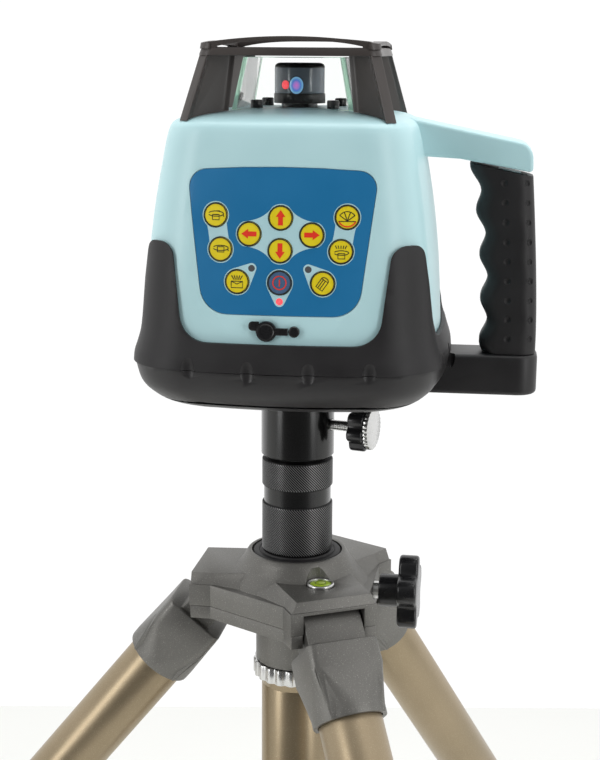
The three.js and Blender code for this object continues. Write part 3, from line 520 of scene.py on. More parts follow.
# ---- Tripod sizes, from the frame ----
HINGE_REACH = 47.0
LEG_SPREAD = 39.0
LEG_HEADINGS = (-62.0, 58.0, 178.0)
LEVEL_REACH = 36.4                                # mast axis to the round level
LOCK_HEADING = LEG_HEADINGS[0] + 60
LOCK_RISE = 7                                     # the lock knob's axis above the hinge pins
CLAMP_HEADING = -15
HINGE_HEIGHT = (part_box("hinge_pin_1")[0].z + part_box("hinge_pin_1")[1].z) / 2 / MM
ARM_TOP = HINGE_HEIGHT + 18.7
ARM_FOOT = ARM_TOP - 26.3
HUB_TOP = ARM_TOP + 10.2


def leg_place(heading):
    """Where a leg made hanging down from its pin stands."""
    return (Matrix.Rotation(math.radians(heading), 4, "Z")
            @ Matrix.Translation((HINGE_REACH, 0, HINGE_HEIGHT))
            @ Matrix.Rotation(math.radians(-LEG_SPREAD), 4, "Y"))


def box_mm(node_name):
    low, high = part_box(node_name)
    return low / MM, high / MM


# ---- Tripod legs ----
def make_upper_tube():
    return soften(pipe(17.3, 15.1, -360, -34, 72), 0.4, 2)


def make_lock_collar():
    """The twist lock: a sleeve with grip ribs all round."""
    collar = turned([[17.85, -360.3], [17.85, -344], [20.6, -344], [22, -346], [22, -349], [21.3, -350.2],
                     [21.3, -372.2], [22, -373.4], [22, -380], [19.4, -388], [14.8, -388], [14.8, -360.3]],
                    72, closed=True)
    rib = start(bpy.ops.mesh.primitive_cube_add, size=1)
    with editing(rib):
        take_all()
        bpy.ops.transform.resize(value=(1.1, 1.8, 21))
        bpy.ops.transform.translate(value=(21.35, 0, -361.2))
        bpy.ops.mesh.bevel(offset=0.4, segments=2, affect="EDGES")
    soften(collar, 0.35, 2)
    return together([collar, *all_round(rib, 24)])


def make_lower_tube():
    return soften(pipe(14.2, 12.6, -586, -80, 64), 0.4, 2)


def make_foot():
    """A rubber cup with raised bands that ends in a ball with a flat sole."""
    profile = [[14.75, -586.3], [14.75, -556], [16.1, -556], [16.6, -556.6], [16.6, -560], [16.0, -560.8],
               [16.0, -562.4], [16.6, -563.2], [16.6, -566.6], [16.0, -567.4], [16.0, -569], [16.6, -569.8],
               [16.6, -587]]
    for step in range(13):
        angle = math.radians(40 + 136 * step / 12)
        profile.append([18 * math.sin(angle), -602 + 18 * math.cos(angle)])
    profile.append([0.4, -620])
    profile.append([0.4, -586.3])
    foot = turned(profile, 64, closed=True)
    with editing(foot):
        take_all()
        bpy.ops.mesh.remove_doubles(threshold=0.9)
    sole_block = start(bpy.ops.mesh.primitive_cube_add, size=1)
    with editing(sole_block):
        take_all()
        bpy.ops.transform.resize(value=(120, 120, 60))
        bpy.ops.transform.translate(value=(0, 0, -47.3))
    put(sole_block, turn=(0, LEG_SPREAD, 0))
    put(sole_block, move=(0, 0, -602))
    return cut(foot, sole_block)


def make_knuckle():
    """The cast joint: a block faceted down to the round cuff that grips the tube."""
    head = start(bpy.ops.mesh.primitive_circle_add, vertices=48, radius=20, fill_type="NGON")
    with editing(head):
        take_all()
        bpy.ops.transform.translate(value=(0, 0, -62))
        extrude(z=14)
        scale_about((0, 0, -48), 1.01, 1.01)
    top = start(bpy.ops.mesh.primitive_plane_add, size=1)
    with editing(top):
        take_all()
        bpy.ops.transform.resize(value=(36, 41, 1))
        bpy.ops.mesh.bevel(offset=5, segments=3, affect="VERTICES")
        bpy.ops.transform.translate(value=(0, 0, -14))
        bpy.ops.mesh.select_mode(type="FACE")
        extrude(z=-14)
        scale_about((0, 0, -28), 1.02, 1.01)
    with editing(top):
        pick("FACE", lambda middle, normal: middle.z < -27.9)
        bpy.ops.mesh.delete(type="ONLY_FACE")
    with editing(head):
        pick("FACE", lambda middle, normal: middle.z > -48.1 and abs(normal.z) > 0.9)
        bpy.ops.mesh.delete(type="ONLY_FACE")
    block = together([head, top])
    with editing(block):
        pick("EDGE", lambda middle, run: abs(middle.z + 48) < 0.05 or abs(middle.z + 28) < 0.05)
        bpy.ops.mesh.bridge_edge_loops()
        take_all()
        face_outward()
    tongue = drawn(rounded([[-9.6, 0, 0], [-9.6, -20, 0], [9.6, -20, 0], [9.6, 0, 0]])
                   + arc((0, 0), 9.6, 0, 180, 16)[1:-1], 33.4)
    put(tongue, turn=(90, 0, 0))
    put(tongue, move=(0, 16.7, 0))
    pin_hole = put(turned([[3.3, -40], [3.3, 40]], 32), turn=(90, 0, 0))
    socket = turned([[17.7, -60], [17.7, -33.7]], 64)
    knuckle = soften(tidy_mesh(fused(block, tongue)), 0.9, 3, 24)
    with editing(knuckle):
        take_all()
        bpy.ops.mesh.bisect(plane_co=(0, 0, -54), plane_no=(0, 0, -1), use_fill=True, clear_outer=True)
    return soften(tidy_mesh(cut(tidy_mesh(knuckle), pin_hole, socket)), 0.2, 2, 60)


# ---- Shoulder ----
def plan_points(grow=0.0):
    points = []
    half, reach = 25 + grow, 57 + grow
    for heading in LEG_HEADINGS:
        turn = math.radians(heading)
        for x, y in ((45, -half), (reach, -half), (reach, half), (45, half)):
            points.append((x * math.cos(turn) - y * math.sin(turn), x * math.sin(turn) + y * math.cos(turn)))
    return points


def box_tool(low, high):
    tool = start(bpy.ops.mesh.primitive_cube_add, size=1)
    with editing(tool):
        take_all()
        bpy.ops.transform.resize(value=[b - a for a, b in zip(low, high)])
        bpy.ops.transform.translate(value=[(a + b) / 2 for a, b in zip(low, high)])
    return tool


def hinge_tools():
    tools = []
    for heading in LEG_HEADINGS:
        slot = box_tool((35.9, -17.7, ARM_FOOT - 1), (60, 17.7, HINGE_HEIGHT + 10.8))
        channel = put(put(turned([[3.35, -22.5], [3.35, 22.5]], 32), turn=(90, 0, 0)),
                      move=(HINGE_REACH, 0, HINGE_HEIGHT))
        tools += [put(slot, turn=(0, 0, heading)), put(channel, turn=(0, 0, heading))]
    return tools


def make_shoulder_top():
    split = HINGE_HEIGHT + 0.15
    hub = turned([[41.5, split], [41.5, ARM_TOP - 7.5], [37.5, ARM_TOP - 3.4], [34.2, ARM_TOP + 0.4],
                  [31.2, ARM_TOP + 4.2], [29.2, ARM_TOP + 7.6], [27.8, HUB_TOP - 0.5], [27.2, HUB_TOP]], 96)
    webs = drawn(plan_points(), ARM_TOP - 6.2 - split)
    put(webs, move=(0, 0, split))
    arms = []
    for heading in LEG_HEADINGS:
        arm = drawn([(15, -35.4), (45, -24.4), (56.4, -24.4), (56.4, 24.4), (45, 24.4), (15, 35.4)], 0.5)
        put(arm, move=(0, 0, ARM_TOP - 7.5))
        with editing(arm):
            pick("FACE", lambda middle, normal: normal.z > 0.9)
            extrude(z=7)
            for near, far, half, top_half in ((50, 60, 24.4, 21.4), (40, 50, 24.4, 21.8), (10, 20, 35.4, 22.4)):
                pick("VERT", lambda point, normal: point.z > ARM_TOP - 0.6 and near < point.x < far)
                scale_about((0, 0, ARM_TOP), 1, top_half / half)
            pick("VERT", lambda point, normal: point.z > ARM_TOP - 0.6 and point.x < 20)
            bpy.ops.transform.translate(value=(0, 0, 1.3))
        arms.append(put(arm, turn=(0, 0, heading)))
    shoulder = fused(hub, webs, *arms)
    bore = turned([[18.1, split - 2], [18.1, HUB_TOP + 2]], 64)
    seat = turned([[25.6, HUB_TOP - 5.8], [25.6, HUB_TOP + 2]], 64)
    level_seat = put(put(turned([[7.9, ARM_TOP - 1.4], [7.9, ARM_TOP + 8]], 48), move=(LEVEL_REACH, 0, 0)),
                     turn=(0, 0, LEG_HEADINGS[0]))
    stud_hole = along_heading(turned([[5.4, 10], [5.4, 70]], 32), LOCK_HEADING, HINGE_HEIGHT + LOCK_RISE)
    cut(shoulder, *hinge_tools(), bore, seat, level_seat, stud_hole)
    return soften(tidy_mesh(shoulder, 0.03), 0.9, 3, 20)


def make_shoulder_base():
    split = HINGE_HEIGHT - 0.15
    plate = put(drawn(plan_points(-0.4), split - ARM_FOOT), move=(0, 0, ARM_FOOT))
    boss = turned([[23.2, ARM_FOOT - 28.6], [23.2, ARM_FOOT + 1]], 72)
    bore = turned([[20.35, ARM_FOOT - 30], [20.35, ARM_FOOT + 4.3]], 64)
    mast_way = turned([[18.1, ARM_FOOT - 10], [18.1, split + 1]], 64)
    base = cut(fused(plate, boss), *hinge_tools(), bore, mast_way)
    return soften(tidy_mesh(base, 0.02), 0.8, 3, 25)


def lobed(radius, depth, lobes, steps):
    """Outline of a knob or nut whose rim waves between two radii."""
    points = []
    for step in range(lobes * steps):
        angle = step / (lobes * steps) * TURN
        wave = 0.5 - 0.5 * math.cos(lobes * angle)
        reach = radius - depth * (1 - wave) ** 1.5
        points.append((reach * math.cos(angle), reach * math.sin(angle)))
    return points


def make_ring_nut(low, high):
    nut = put(drawn(lobed(24.7, 1.3, 22, 8), high - low - 0.1), move=(0, 0, low))
    cut(nut, turned([[20.3, low - 1], [20.3, high + 1]], 72))
    return soften(nut, 0.5, 2, 50)


def make_column(low, high, nut_foot):
    bead = nut_foot - 4.5
    return soften(turned([[18.4, low], [19.9, low], [19.9, bead - 1.6], [19.5, bead - 0.8], [19.9, bead],
                          [19.9, high], [18.4, high]], 96, closed=True), 0.3, 2, 40)


def make_column_cap(low, high):
    return soften(turned([[4, low], [19.6, low], [21.8, low + 2.2], [21.8, high - 1], [21.2, high],
                          [20.3, high], [20.3, low + 5.7], [4, low + 5.7]], 72, closed=True), 0.5, 3)


def make_collar(low, high):
    return soften(turned([[18.05, low], [24.9, low], [24.9, high - 1.4], [24.2, high - 0.6], [21.6, high - 0.5],
                          [21.2, high - 1.0], [20.4, high - 1.0], [20.0, high], [18.05, high]], 96,
                         closed=True), 0.25, 2)


def make_level_ring(low, high):
    return soften(turned([[6.15, low], [7.5, low], [7.5, high - 0.7], [6.9, high], [6.15, high - 0.4]], 64,
                         closed=True), 0.2, 2)


def make_vial(low, high):
    """The level's glass: a low green dome with a printed circle, and its bubble."""
    dome = turned([[5.8, low], [5.8, high - 0.9], [5.2, high - 0.62], [4.0, high - 0.4], [2.4, high - 0.28],
                   [0.6, high - 0.24]], 48)
    circle = start(bpy.ops.mesh.primitive_torus_add, major_radius=2.9, minor_radius=0.13, major_segments=48,
                   minor_segments=8)
    with editing(circle):
        take_all()
        bpy.ops.transform.translate(value=(0, 0, high - 0.30))
    bubble = start(bpy.ops.mesh.primitive_uv_sphere_add, segments=24, ring_count=12, radius=1.9)
    with editing(bubble):
        take_all()
        bpy.ops.transform.resize(value=(1, 1, 0.16))
        bpy.ops.transform.translate(value=(0.8, 0.3, high - 0.32))
    for part, finish_index in ((dome, FLUID), (circle, INK_DARK), (bubble, BUBBLE)):
        part.data.materials.append(finish_index)
    return together([dome, circle, bubble])


def make_lock_knob():
    head = put(drawn(lobed(21, 6, 5, 14), 11), move=(0, 0, 58.5))
    soften(head, 1.6, 3, 50)
    hub = soften(turned([[9.3, 47.5], [9.3, 60]], 48), 0.8, 2)
    boss = soften(turned([[7.5, 66], [7.5, 69.9]], 48), 0.6, 2)
    bore = turned([[5.4, 46], [5.4, 56.3]], 32)
    return cut(together([fused(head, hub), boss]), bore)


def threaded(radius, depth, low, high, pitch):
    """A threaded rod, its ridges drawn as rings."""
    profile = [[radius - depth, low]]
    for step in range(int((high - low) / pitch)):
        at = low + (step + 0.5) * pitch
        profile += [[radius - depth, at - 0.22 * pitch], [radius, at], [radius - depth, at + 0.22 * pitch]]
    return turned(profile + [[radius - depth, high]], 32)


def make_clamp_knob():
    """A small fluted knob with a bright ribbed cap on its outer end."""
    head = put(drawn(lobed(13, 2.2, 7, 12), 9), move=(0, 0, 33))
    soften(head, 1.2, 3, 50)
    bore = turned([[3.35, 32], [3.35, 41.4]], 32)
    cut(head, bore)
    cap = put(drawn(lobed(11.6, 0.5, 28, 6), 2.6), move=(0, 0, 42.2))
    soften(cap, 0.3, 2, 50)
    head.data.materials.append(BLACK_PLASTIC)
    cap.data.materials.append(BRIGHT)
    return together([head, cap])


def knurled(low, high, base, tip, sides=168):
    """A band of diamond knurling: every second point of a fine grid stands out."""
    rows = int(round((high - low) / 0.74))
    band = turned([[base, low + (high - low) * row / rows] for row in range(rows + 1)], sides)
    step = (high - low) / rows

    def raised(point, normal):
        row = round((point.z - low) / step)
        column = round(math.atan2(point.y, point.x) / TURN * sides)
        return 0 < row < rows and (row + column) % 2 == 0

    with editing(band):
        pick("VERT", raised)
        scale_about((0, 0, 0), tip / base, tip / base)
    return band


def make_mast(collar_top, foot, knurl_low, band_low, band_high, knurl_top, top):
    tube = turned([[15.4, foot], [17.6, foot], [17.6, knurl_low - 0.1], [19.1, knurl_low],
                   [19.1, knurl_low + 0.4]], 96, closed=False)
    lower = knurled(knurl_low, band_low, KNURL_ROOT, KNURL_TIP)
    band = soften(turned([[18.8, band_low - 0.1], [18.8, band_high + 0.1]], 96), 0.05, 1)
    upper = knurled(band_high, knurl_top, KNURL_ROOT, KNURL_TIP)
    spigot = soften(turned([[16.7, knurl_top - 0.1], [16.7, top]], 72), 0.4, 2)
    bore = turned([[15.3, foot - 1], [15.3, knurl_low - 4]], 64)
    cut(tube, bore)
    lower.data.materials.append(KNURL_BLACK)
    for part in (tube, band, spigot):
        part.data.materials.append(SLEEVE_BLACK)
    upper.data.materials.append(KNURL_BLACK)
    return together([tube, lower, band, upper, spigot])


def make_sleeve(low, high, screw_height):
    sleeve = turned([[17.05, low], [19.5, low], [20.3, low + 0.9], [20.3, high - 0.6], [19.7, high],
                     [8.3, high], [8.3, high - 8], [17.05, high - 8]], 96, closed=True)
    tapped = along_heading(turned([[3.4, 10], [3.4, 40]], 32), CLAMP_HEADING, screw_height)
    return soften(cut(sleeve, tapped), 0.25, 2, 30)


# ---- Laser shells: heights from the laser's foot ----
TRAY = [[0, 60, 25.6], [2.5, 67, 32], [7, 73.2, 34], [13, 78, 34], [22.9, 80.7, 34]]
BOOT = [[23.2, 80.6, 34], [28, 80.1, 34], [34, 78.2, 33], [41, 76.6, 32], [55, 75.4, 31], [67, 74.5, 30],
        [86.7, 72.9, 29]]
SHELL = [[23.2, 75, 31], [41, 74.3, 30.5], [67, 73, 29.5], [88, 71.1, 28.5], [108, 68.4, 26.5],
         [126, 65.2, 25], [137, 63.2, 24], [143, 61.4, 23]]
DOME = [[146, 58.6, 22], [148.6, 50, 19], [151.5, 28, 10]]
KEYS = {"up": (0, 100.2), "down": (0, 84.2), "left": (-15.6, 92.1), "right": (15.6, 92.1),
        "spin": (-32.8, 100.9), "speed": (-30.1, 84.2), "tilt": (32.8, 100.9), "scan": (30.1, 84.2),
        "alarm": (-21.4, 68.4), "manual": (21.4, 68.4), "power": (0, 68.4)}
LAMPS = {"left": (-14.2, 75.3), "right": (14.2, 75.3), "power": (0, 59.0)}
PLUG_X, PLUG_Z, ANCHOR_X = -6.3, 44.2, 7.6


def eased(profile, cuts=3):
    """More levels between the given ones, on a smooth curve."""
    levels = [profile[0]]
    for index in range(len(profile) - 1):
        a, b = profile[max(index - 1, 0)], profile[index]
        c, d = profile[index + 1], profile[min(index + 2, len(profile) - 1)]
        for step in range(1, cuts + 1):
            t = step / cuts
            levels.append([0.5 * (2 * p1 + (p2 - p0) * t + (2 * p0 - 5 * p1 + 4 * p2 - p3) * t * t
                                  + (3 * p1 - p0 - 3 * p2 + p3) * t ** 3)
                           for p0, p1, p2, p3 in zip(a, b, c, d)])
    return levels


def body_loft(grow=0.0):
    levels = eased(SHELL, 2)
    return square_stack(levels + eased([SHELL[-1], *DOME], 3)[1:], grow)


def face_point(x, z):
    """The front face's depth at a place, and how it leans and turns there."""
    for (z0, half0, radius0), (z1, half1, radius1) in zip(SHELL, SHELL[1:]):
        if z0 <= z <= z1:
            share = (z - z0) / (z1 - z0)
            half = half0 + share * (half1 - half0)
            reach = half - radius0 - share * (radius1 - radius0)
            along = max(-1.0, min(1.0, x / reach))
            return (-(half + SIDE_BULGE * (1 - along * along)), math.atan((half0 - half1) / (z1 - z0)),
                    math.atan(2 * SIDE_BULGE * along / reach))
    raise ValueError("height outside the shell")


def square_to_face(piece, x, z):
    """Lays a piece made facing +Z square to the front face."""
    y, lean, yaw = face_point(x, z)
    piece.data.transform(Matrix.Translation((x, y, z)) @ Matrix.Rotation(yaw, 4, "Z")
                         @ Matrix.Rotation(math.pi / 2 - lean, 4, "X"))
    return piece


def groove_tools(low, high):
    """Shallow upright dents where the guard's two halves meet."""
    tools = []
    for side in range(4):
        for x in (-46, -15.5, 15.5, 46):
            half = 83.4 - (0 if abs(x) < 20 else 2.9)
            groove = start(bpy.ops.mesh.primitive_uv_sphere_add, segments=24, ring_count=16, radius=1)
            with editing(groove):
                take_all()
                bpy.ops.transform.resize(value=(3.9, 2.5, (high - low) / 2))
                bpy.ops.transform.translate(value=(x, -half - 0.6, (low + high) / 2))
            tools.append(put(groove, turn=(0, 0, side * 90)))
    return together(tools)


def make_tray():
    shell = square_stack(eased(TRAY, 4))
    cavity = square_stack([[3.4, 69.8, 32], [13, 74.6, 32], [24, 77.3, 32]])
    tower = turned([[18, 1], [18, 16]], 64)
    arm = drawn(rounded([(66, -15.5, 0), (130, -15.5, 11), (130, 15.5, 11), (66, 15.5, 0)], 10), 21.7)
    put(arm, move=(0, 0, 1.2))
    soften(arm, 2.2, 4, 50)
    well = turned([[14.5, -1], [14.5, 17]], 64)
    tray = fused(shell, arm)
    cut(tray, cavity)
    cut(fused(tray, tower), well, groove_tools(15.5, 31))
    return soften(tidy_mesh(tray, 0.01), 0.5, 2, 38)


def window_tool():
    outline = rounded([(-49.5, 37.4, 14), (49.5, 37.4, 14), (55.3, 86.0, 8), (66, 87.2, 0), (66, 92, 0),
                       (-66, 92, 0), (-66, 87.2, 0), (-55.3, 86.0, 8)], 10)
    return facing_front(drawn(outline, 45))


def make_boot():
    boot = square_stack(eased(BOOT, 3))
    inner = square_stack(eased(SHELL[:4], 2), 0.3)
    with editing(inner):
        pick("FACE", lambda middle, normal: middle.z < 23.3)
        bpy.ops.transform.translate(value=(0, 0, -4))
    windows = [put(window_tool(), turn=(0, 0, side * 90)) for side in range(4)]
    cut(boot, inner, *windows)
    soften(tidy_mesh(boot, 0.01), 1.3, 3, 38)
    return cut(boot, groove_tools(15.5, 31))


LABEL_TOP, LABEL_FOOT = 123.3, 52.0


def label_outline(grow=0.0):
    top, foot, wide, narrow = LABEL_TOP + grow, LABEL_FOOT - grow, 47.8 + grow, 38.9 + grow
    return rounded([(-narrow, foot, 14), (narrow, foot, 14), (wide, top - 0.6, 9), (20, top + 1.0, 0),
                    (0, top + 1.4, 0), (-20, top + 1.0, 0), (-wide, top - 0.6, 9)], 8)


def key_wells():
    return [square_to_face(turned([[6.35, -9], [6.35, 4]], 48), x, z) for x, z in KEYS.values()]


ARM_SLOPE = 14 / 69                               # how steeply the upper handle arm falls outwards


def arm_top(x):
    return 147 - (x - 60) * ARM_SLOPE


def make_housing():
    body = body_loft()
    arm = drawn(rounded([(50, arm_top(55) - 19.5, 0), (66, arm_top(66) - 18.5, 0), (86, arm_top(86) - 15.5, 12),
                         (124, arm_top(124) - 14.5, 2), (123.5, arm_top(124), 9), (50, arm_top(50), 0)], 8), 28)
    put(arm, turn=(90, 0, 0))
    put(arm, move=(0, 14, 0))
    soften(arm, 3.6, 4, 50)
    housing = fused(body, arm)
    cavity = square_stack([[21, 72, 28], [67, 70, 26], [108, 65.4, 23], [137, 60.2, 21], [145.5, 56, 20]])
    recess = cut(facing_front(drawn(label_outline(0.3), 40)), body_loft(-0.9))
    port = square_to_face(turned([[4.6, -9], [4.6, 4]], 48), PLUG_X, PLUG_Z)
    well = turned([[11.8, 138], [11.8, 154]], 64)
    cut(housing, cavity, recess, *key_wells(), port, well)
    return soften(tidy_mesh(housing, 0.01), 0.35, 2, 50)


def label_sheet(outer, inner):
    sheet = body_loft(outer)
    return cut(sheet, body_loft(inner))


def make_label():
    label = combine(facing_front(drawn(label_outline(), 40)), [label_sheet(-0.1, -0.6)], "INTERSECT")
    return cut(label, *key_wells())


# ---- Printing on the label ----
def curve(a, bend, b, steps=8):
    """Points of a soft curve from a to b that is pulled towards the bend."""
    return [((1 - t) ** 2 * a[0] + 2 * t * (1 - t) * bend[0] + t * t * b[0],
             (1 - t) ** 2 * a[1] + 2 * t * (1 - t) * bend[1] + t * t * b[1])
            for t in [step / steps for step in range(1, steps)]]


def teardrop(a, radius_a, b, radius_b):
    """Two circles wrapped by their outer tangents."""
    heading = math.degrees(math.atan2(b[1] - a[1], b[0] - a[0]))
    lean = math.degrees(math.acos((radius_a - radius_b) / math.dist(a, b)))
    return (arc(a, radius_a, heading + lean, 360 - 2 * lean, 28)
            + arc(b, radius_b, heading - lean, 2 * lean, 12))


def dog_bone(a, b, radius, waist):
    """Two circles joined by a bar with a narrow waist."""
    heading = math.degrees(math.atan2(b[1] - a[1], b[0] - a[0]))
    first, second = arc(a, radius, heading + 48, 264, 28), arc(b, radius, heading - 132, 264, 28)
    middle = ((a[0] + b[0]) / 2, (a[1] + b[1]) / 2)
    out = (math.cos(math.radians(heading - 90)) * waist, math.sin(math.radians(heading - 90)) * waist)
    right = (middle[0] + out[0], middle[1] + out[1])
    left = (middle[0] - out[0], middle[1] - out[1])
    return first + curve(first[-1], right, second[0]) + second + curve(second[-1], left, first[0])


STAR_PINCH = 0.72


def arrow_star():
    """The pale shape behind the four arrow keys."""
    order, middle = ("left", "down", "right", "up"), (0, 92.2)
    outline, arcs = [], []
    for name in order:
        x, z = KEYS[name]
        heading = math.degrees(math.atan2(z - middle[1], x - middle[0]))
        half = 62 if name in ("left", "right") else 40
        arcs.append(arc((x, z), 6.8, heading - half, 2 * half, 16))
    for index, part in enumerate(arcs):
        after = arcs[(index + 1) % len(arcs)]
        bend = ((part[-1][0] + after[0][0]) / 2 * STAR_PINCH,
                middle[1] + ((part[-1][1] + after[0][1]) / 2 - middle[1]) * STAR_PINCH)
        outline += part + curve(part[-1], bend, after[0], 10)
    return outline


PRINT_TOP, PRINT_FOOT = -0.04, -0.3                # the print's skin, measured out from the shell


def make_print(outline):
    """A shape printed on the label, as a thin skin that follows its curve."""
    printed = combine(facing_front(drawn(outline, 40)), [label_sheet(PRINT_TOP, PRINT_FOOT)], "INTERSECT")
    printed.data.materials.clear()
    printed.data.materials.append(PRINT_AQUA)
    return cut(printed, *key_wells())


def stroke(points, width=0.42):
    """Outline of a line of the given width through the points."""
    left, right = [], []
    for index, (x, y) in enumerate(points):
        x0, y0 = points[max(index - 1, 0)]
        x1, y1 = points[min(index + 1, len(points) - 1)]
        run = Vector((x1 - x0, y1 - y0)).normalized()
        left.append((x - run.y * width / 2, y + run.x * width / 2))
        right.append((x + run.y * width / 2, y - run.x * width / 2))
    return left + right[::-1]


def oval(centre, wide, tall, start_angle=0, sweep=330, steps=22):
    return [(centre[0] + wide * math.cos(math.radians(start_angle + sweep * step / steps)),
             centre[1] + tall * math.sin(math.radians(start_angle + sweep * step / steps)))
            for step in range(steps + 1)]


def turned_points(points, angle):
    cosine, sine = math.cos(math.radians(angle)), math.sin(math.radians(angle))
    return [(x * cosine - y * sine, x * sine + y * cosine) for x, y in points]


ARROW = [(-1.2, -3.7), (1.2, -3.7), (1.2, 0.5), (2.4, 0.5), (0, 3.9), (-2.4, 0.5), (-1.2, 0.5)]


def box_line(wide, tall, x=0.0, y=0.0):
    return [(x - wide, y + tall), (x - wide, y - tall), (x + wide, y - tall), (x + wide, y + tall),
            (x - wide, y + tall)]


def key_marks(name):
    """(outline, ink) pairs of a key's symbol, drawn about the key's middle."""
    if name in ("up", "down", "left", "right"):
        return [(turned_points(ARROW, {"up": 0, "left": 90, "down": 180, "right": -90}[name]), INK_RED)]
    lines, red = [], []
    if name == "power":
        red = [stroke(oval((0, 0), 3.3, 3.3, 92, 356, 36), 0.55), stroke([(0, -1.7), (0, 1.7)], 0.6)]
    elif name in ("spin", "speed"):
        lift = 0.5 if name == "spin" else -0.5
        lines = [box_line(1.7, 1.3, 0.2, -0.6 - lift), oval((0.2, 0.6), 3.9, 1.3, 200, 320),
                 [(0.4, 1.9 + lift * 0.2), (2.2, 1.9 + lift * 0.2)], [(3.0, -0.4), (3.9, 0.3), (4.2, -0.8)]]
        if name == "spin":
            lines.append([(-1.0, 0.1), (1.4, 0.1)])
    elif name == "tilt":
        lines = [oval((0, -1.8), 4.6, 4.6, 35, 110, 14), [(0, -1.8), (3.7, 0.9)], [(0, -1.8), (-3.7, 0.9)],
                 [(0, -1.8), (-1.5, 2.4)], [(0, -1.8), (1.5, 2.4)], [(-4.3, -2.0), (4.3, -2.0)]]
        red = [stroke(oval((0, 0), 4.6, 4.6, 205, 130, 16), 0.6)]
    elif name == "scan":
        lines = [box_line(1.7, 1.3, 0.2, -2.2), oval((0.2, -0.6), 3.6, 1.1, 200, 320),
                 *[[(x * 0.7, 1.4), (x, 3.0)] for x in (-2.8, -1.4, 0, 1.4, 2.8)]]
    elif name == "alarm":
        lines = [box_line(2.9, 1.6, 0, -1.4), [(-2.9, 0.2), (0, -1.2), (2.9, 0.2)],
                 *[[(x * 0.55, 1.0), (x, 3.1)] for x in (-2.8, -1.4, 0, 1.4, 2.8)]]
    elif name == "manual":
        lines = [turned_points(box_line(1.9, 2.5, 0, -0.6), -35),
                 turned_points(oval((0, 1.9), 1.9, 1.3, 0, 180, 10), -35),
                 *[turned_points([(x, 1.8), (x, -3.1)], -35) for x in (-0.8, 0.4)]]
    return [(stroke(line), INK_DARK) for line in lines] + [(line, INK_RED) for line in red]


def make_key(name):
    """A key's cap with a soft rim, its dark printed ring and its symbol."""
    cap = turned([[6.0, -4.1], [6.0, 0.1], [5.8, 0.26], [5.3, 0.30], [3.0, 0.34], [0.5, 0.36]], 64)
    cap.data.materials.append(KEY_GREY if name == "power" else KEY_YELLOW)
    rim = turned([[5.4, 0.20], [5.98, 0.0], [5.99, 0.25], [5.85, 0.46], [5.45, 0.48]], 64, closed=True)
    rim.data.materials.append(INK_DARK)
    parts = [cap, rim]
    for outline, ink in key_marks(name):
        mark = put(drawn(outline, 0.2), move=(0, 0, 0.24))
        mark.data.materials.append(ink)
        parts.append(mark)
    return square_to_face(together(parts), *KEYS[name])


def make_plug():
    """The rubber plug with its lip, finger tab and strap."""
    disc = turned([[3.3, -2.6], [3.4, -2.2], [3.4, 0.3], [5.2, 0.35], [5.2, 1.3], [4.9, 1.75], [4.0, 1.95],
                   [3.4, 1.7], [3.0, 1.65], [0.5, 1.7]], 64)
    strap = soften(box_tool((3.4, -1.85, 0.35), (10.95, 1.85, 1.7)), 0.45, 3)
    tab_outline = rounded([(-8.9, 0.2, 2.0), (-3.6, 0.2, 0), (-3.6, 5.0, 0), (-8.9, 5.0, 2.0)], 6)
    tab = soften(put(drawn(tab_outline, 1.3), move=(0, 0, 0.4)), 0.4, 2, 50)
    return put(put(together([disc, strap, tab]), turn=(90, 0, 0)),
               move=(PLUG_X, face_point(PLUG_X, PLUG_Z)[0] - 0.4, PLUG_Z))


def make_anchor():
    return square_to_face(soften(turned([[2.8, -0.6], [2.8, 1.7], [2.3, 2.2], [0.4, 2.35]], 40), 0.15, 2),
                          ANCHOR_X, PLUG_Z)


# ---- Lantern: crown, panes, rotor and platform screws ----
def crown_post():
    """A leaning corner plate with a raised rim round a sunken field on each face."""
    root = math.sqrt(2)
    plate = start(bpy.ops.mesh.primitive_plane_add, size=1)
    inner0, outer0, inner1, outer1 = 35 * root, 56.5 * root - 4.6, 31 * root, 45.5 * root - 3.6
    with editing(plate):
        take_all()
        bpy.ops.transform.resize(value=(outer0 - inner0, 7.4, 1))
        bpy.ops.transform.translate(value=((inner0 + outer0) / 2, 0, 143.5))
        bpy.ops.mesh.select_mode(type="FACE")
        extrude(z=38)
        bpy.ops.transform.translate(value=((inner1 + outer1 - inner0 - outer0) / 2, 0, 0))
        scale_about(((inner1 + outer1) / 2, 0, 181.5), (outer1 - inner1) / (outer0 - inner0), 1)
        take_all()
        face_outward()
        pick("FACE", lambda middle, normal: abs(normal.y) > 0.9)
        bpy.ops.mesh.inset(thickness=2.6, use_individual=True)
        bpy.ops.transform.resize(value=(1, 4.0 / 7.4, 1), center_override=(0, 0, 160))
    return soften(plate, 0.8, 3, 25)


def crown_arch(rise):
    """The lip that bows over one side of the crown's roof and dips at the corners."""
    half, opening, steps = 46.0, 37.0, 18
    along = [-1 + 2 * step / steps for step in range(steps + 1)]
    high = [(share * half, 184.2 + rise * (1 - share * share)) for share in along]
    low = [(share * opening, 182.9 + (rise - 0.9) * (1 - abs(share) ** 3)) for share in along]
    outline = [(-half, 181.5), *high, (half, 181.5), (opening, 181.5), *low[::-1], (-opening, 181.5)]
    arch = put(put(drawn(outline, 5.4), turn=(90, 0, 0)), move=(0, -39.9, 0))
    combine(arch, [square_stack([[178, 46.7, 7], [192, 44.5, 6.5]], bulge=0)], "INTERSECT")
    return soften(tidy_mesh(arch), 0.7, 3, 50)


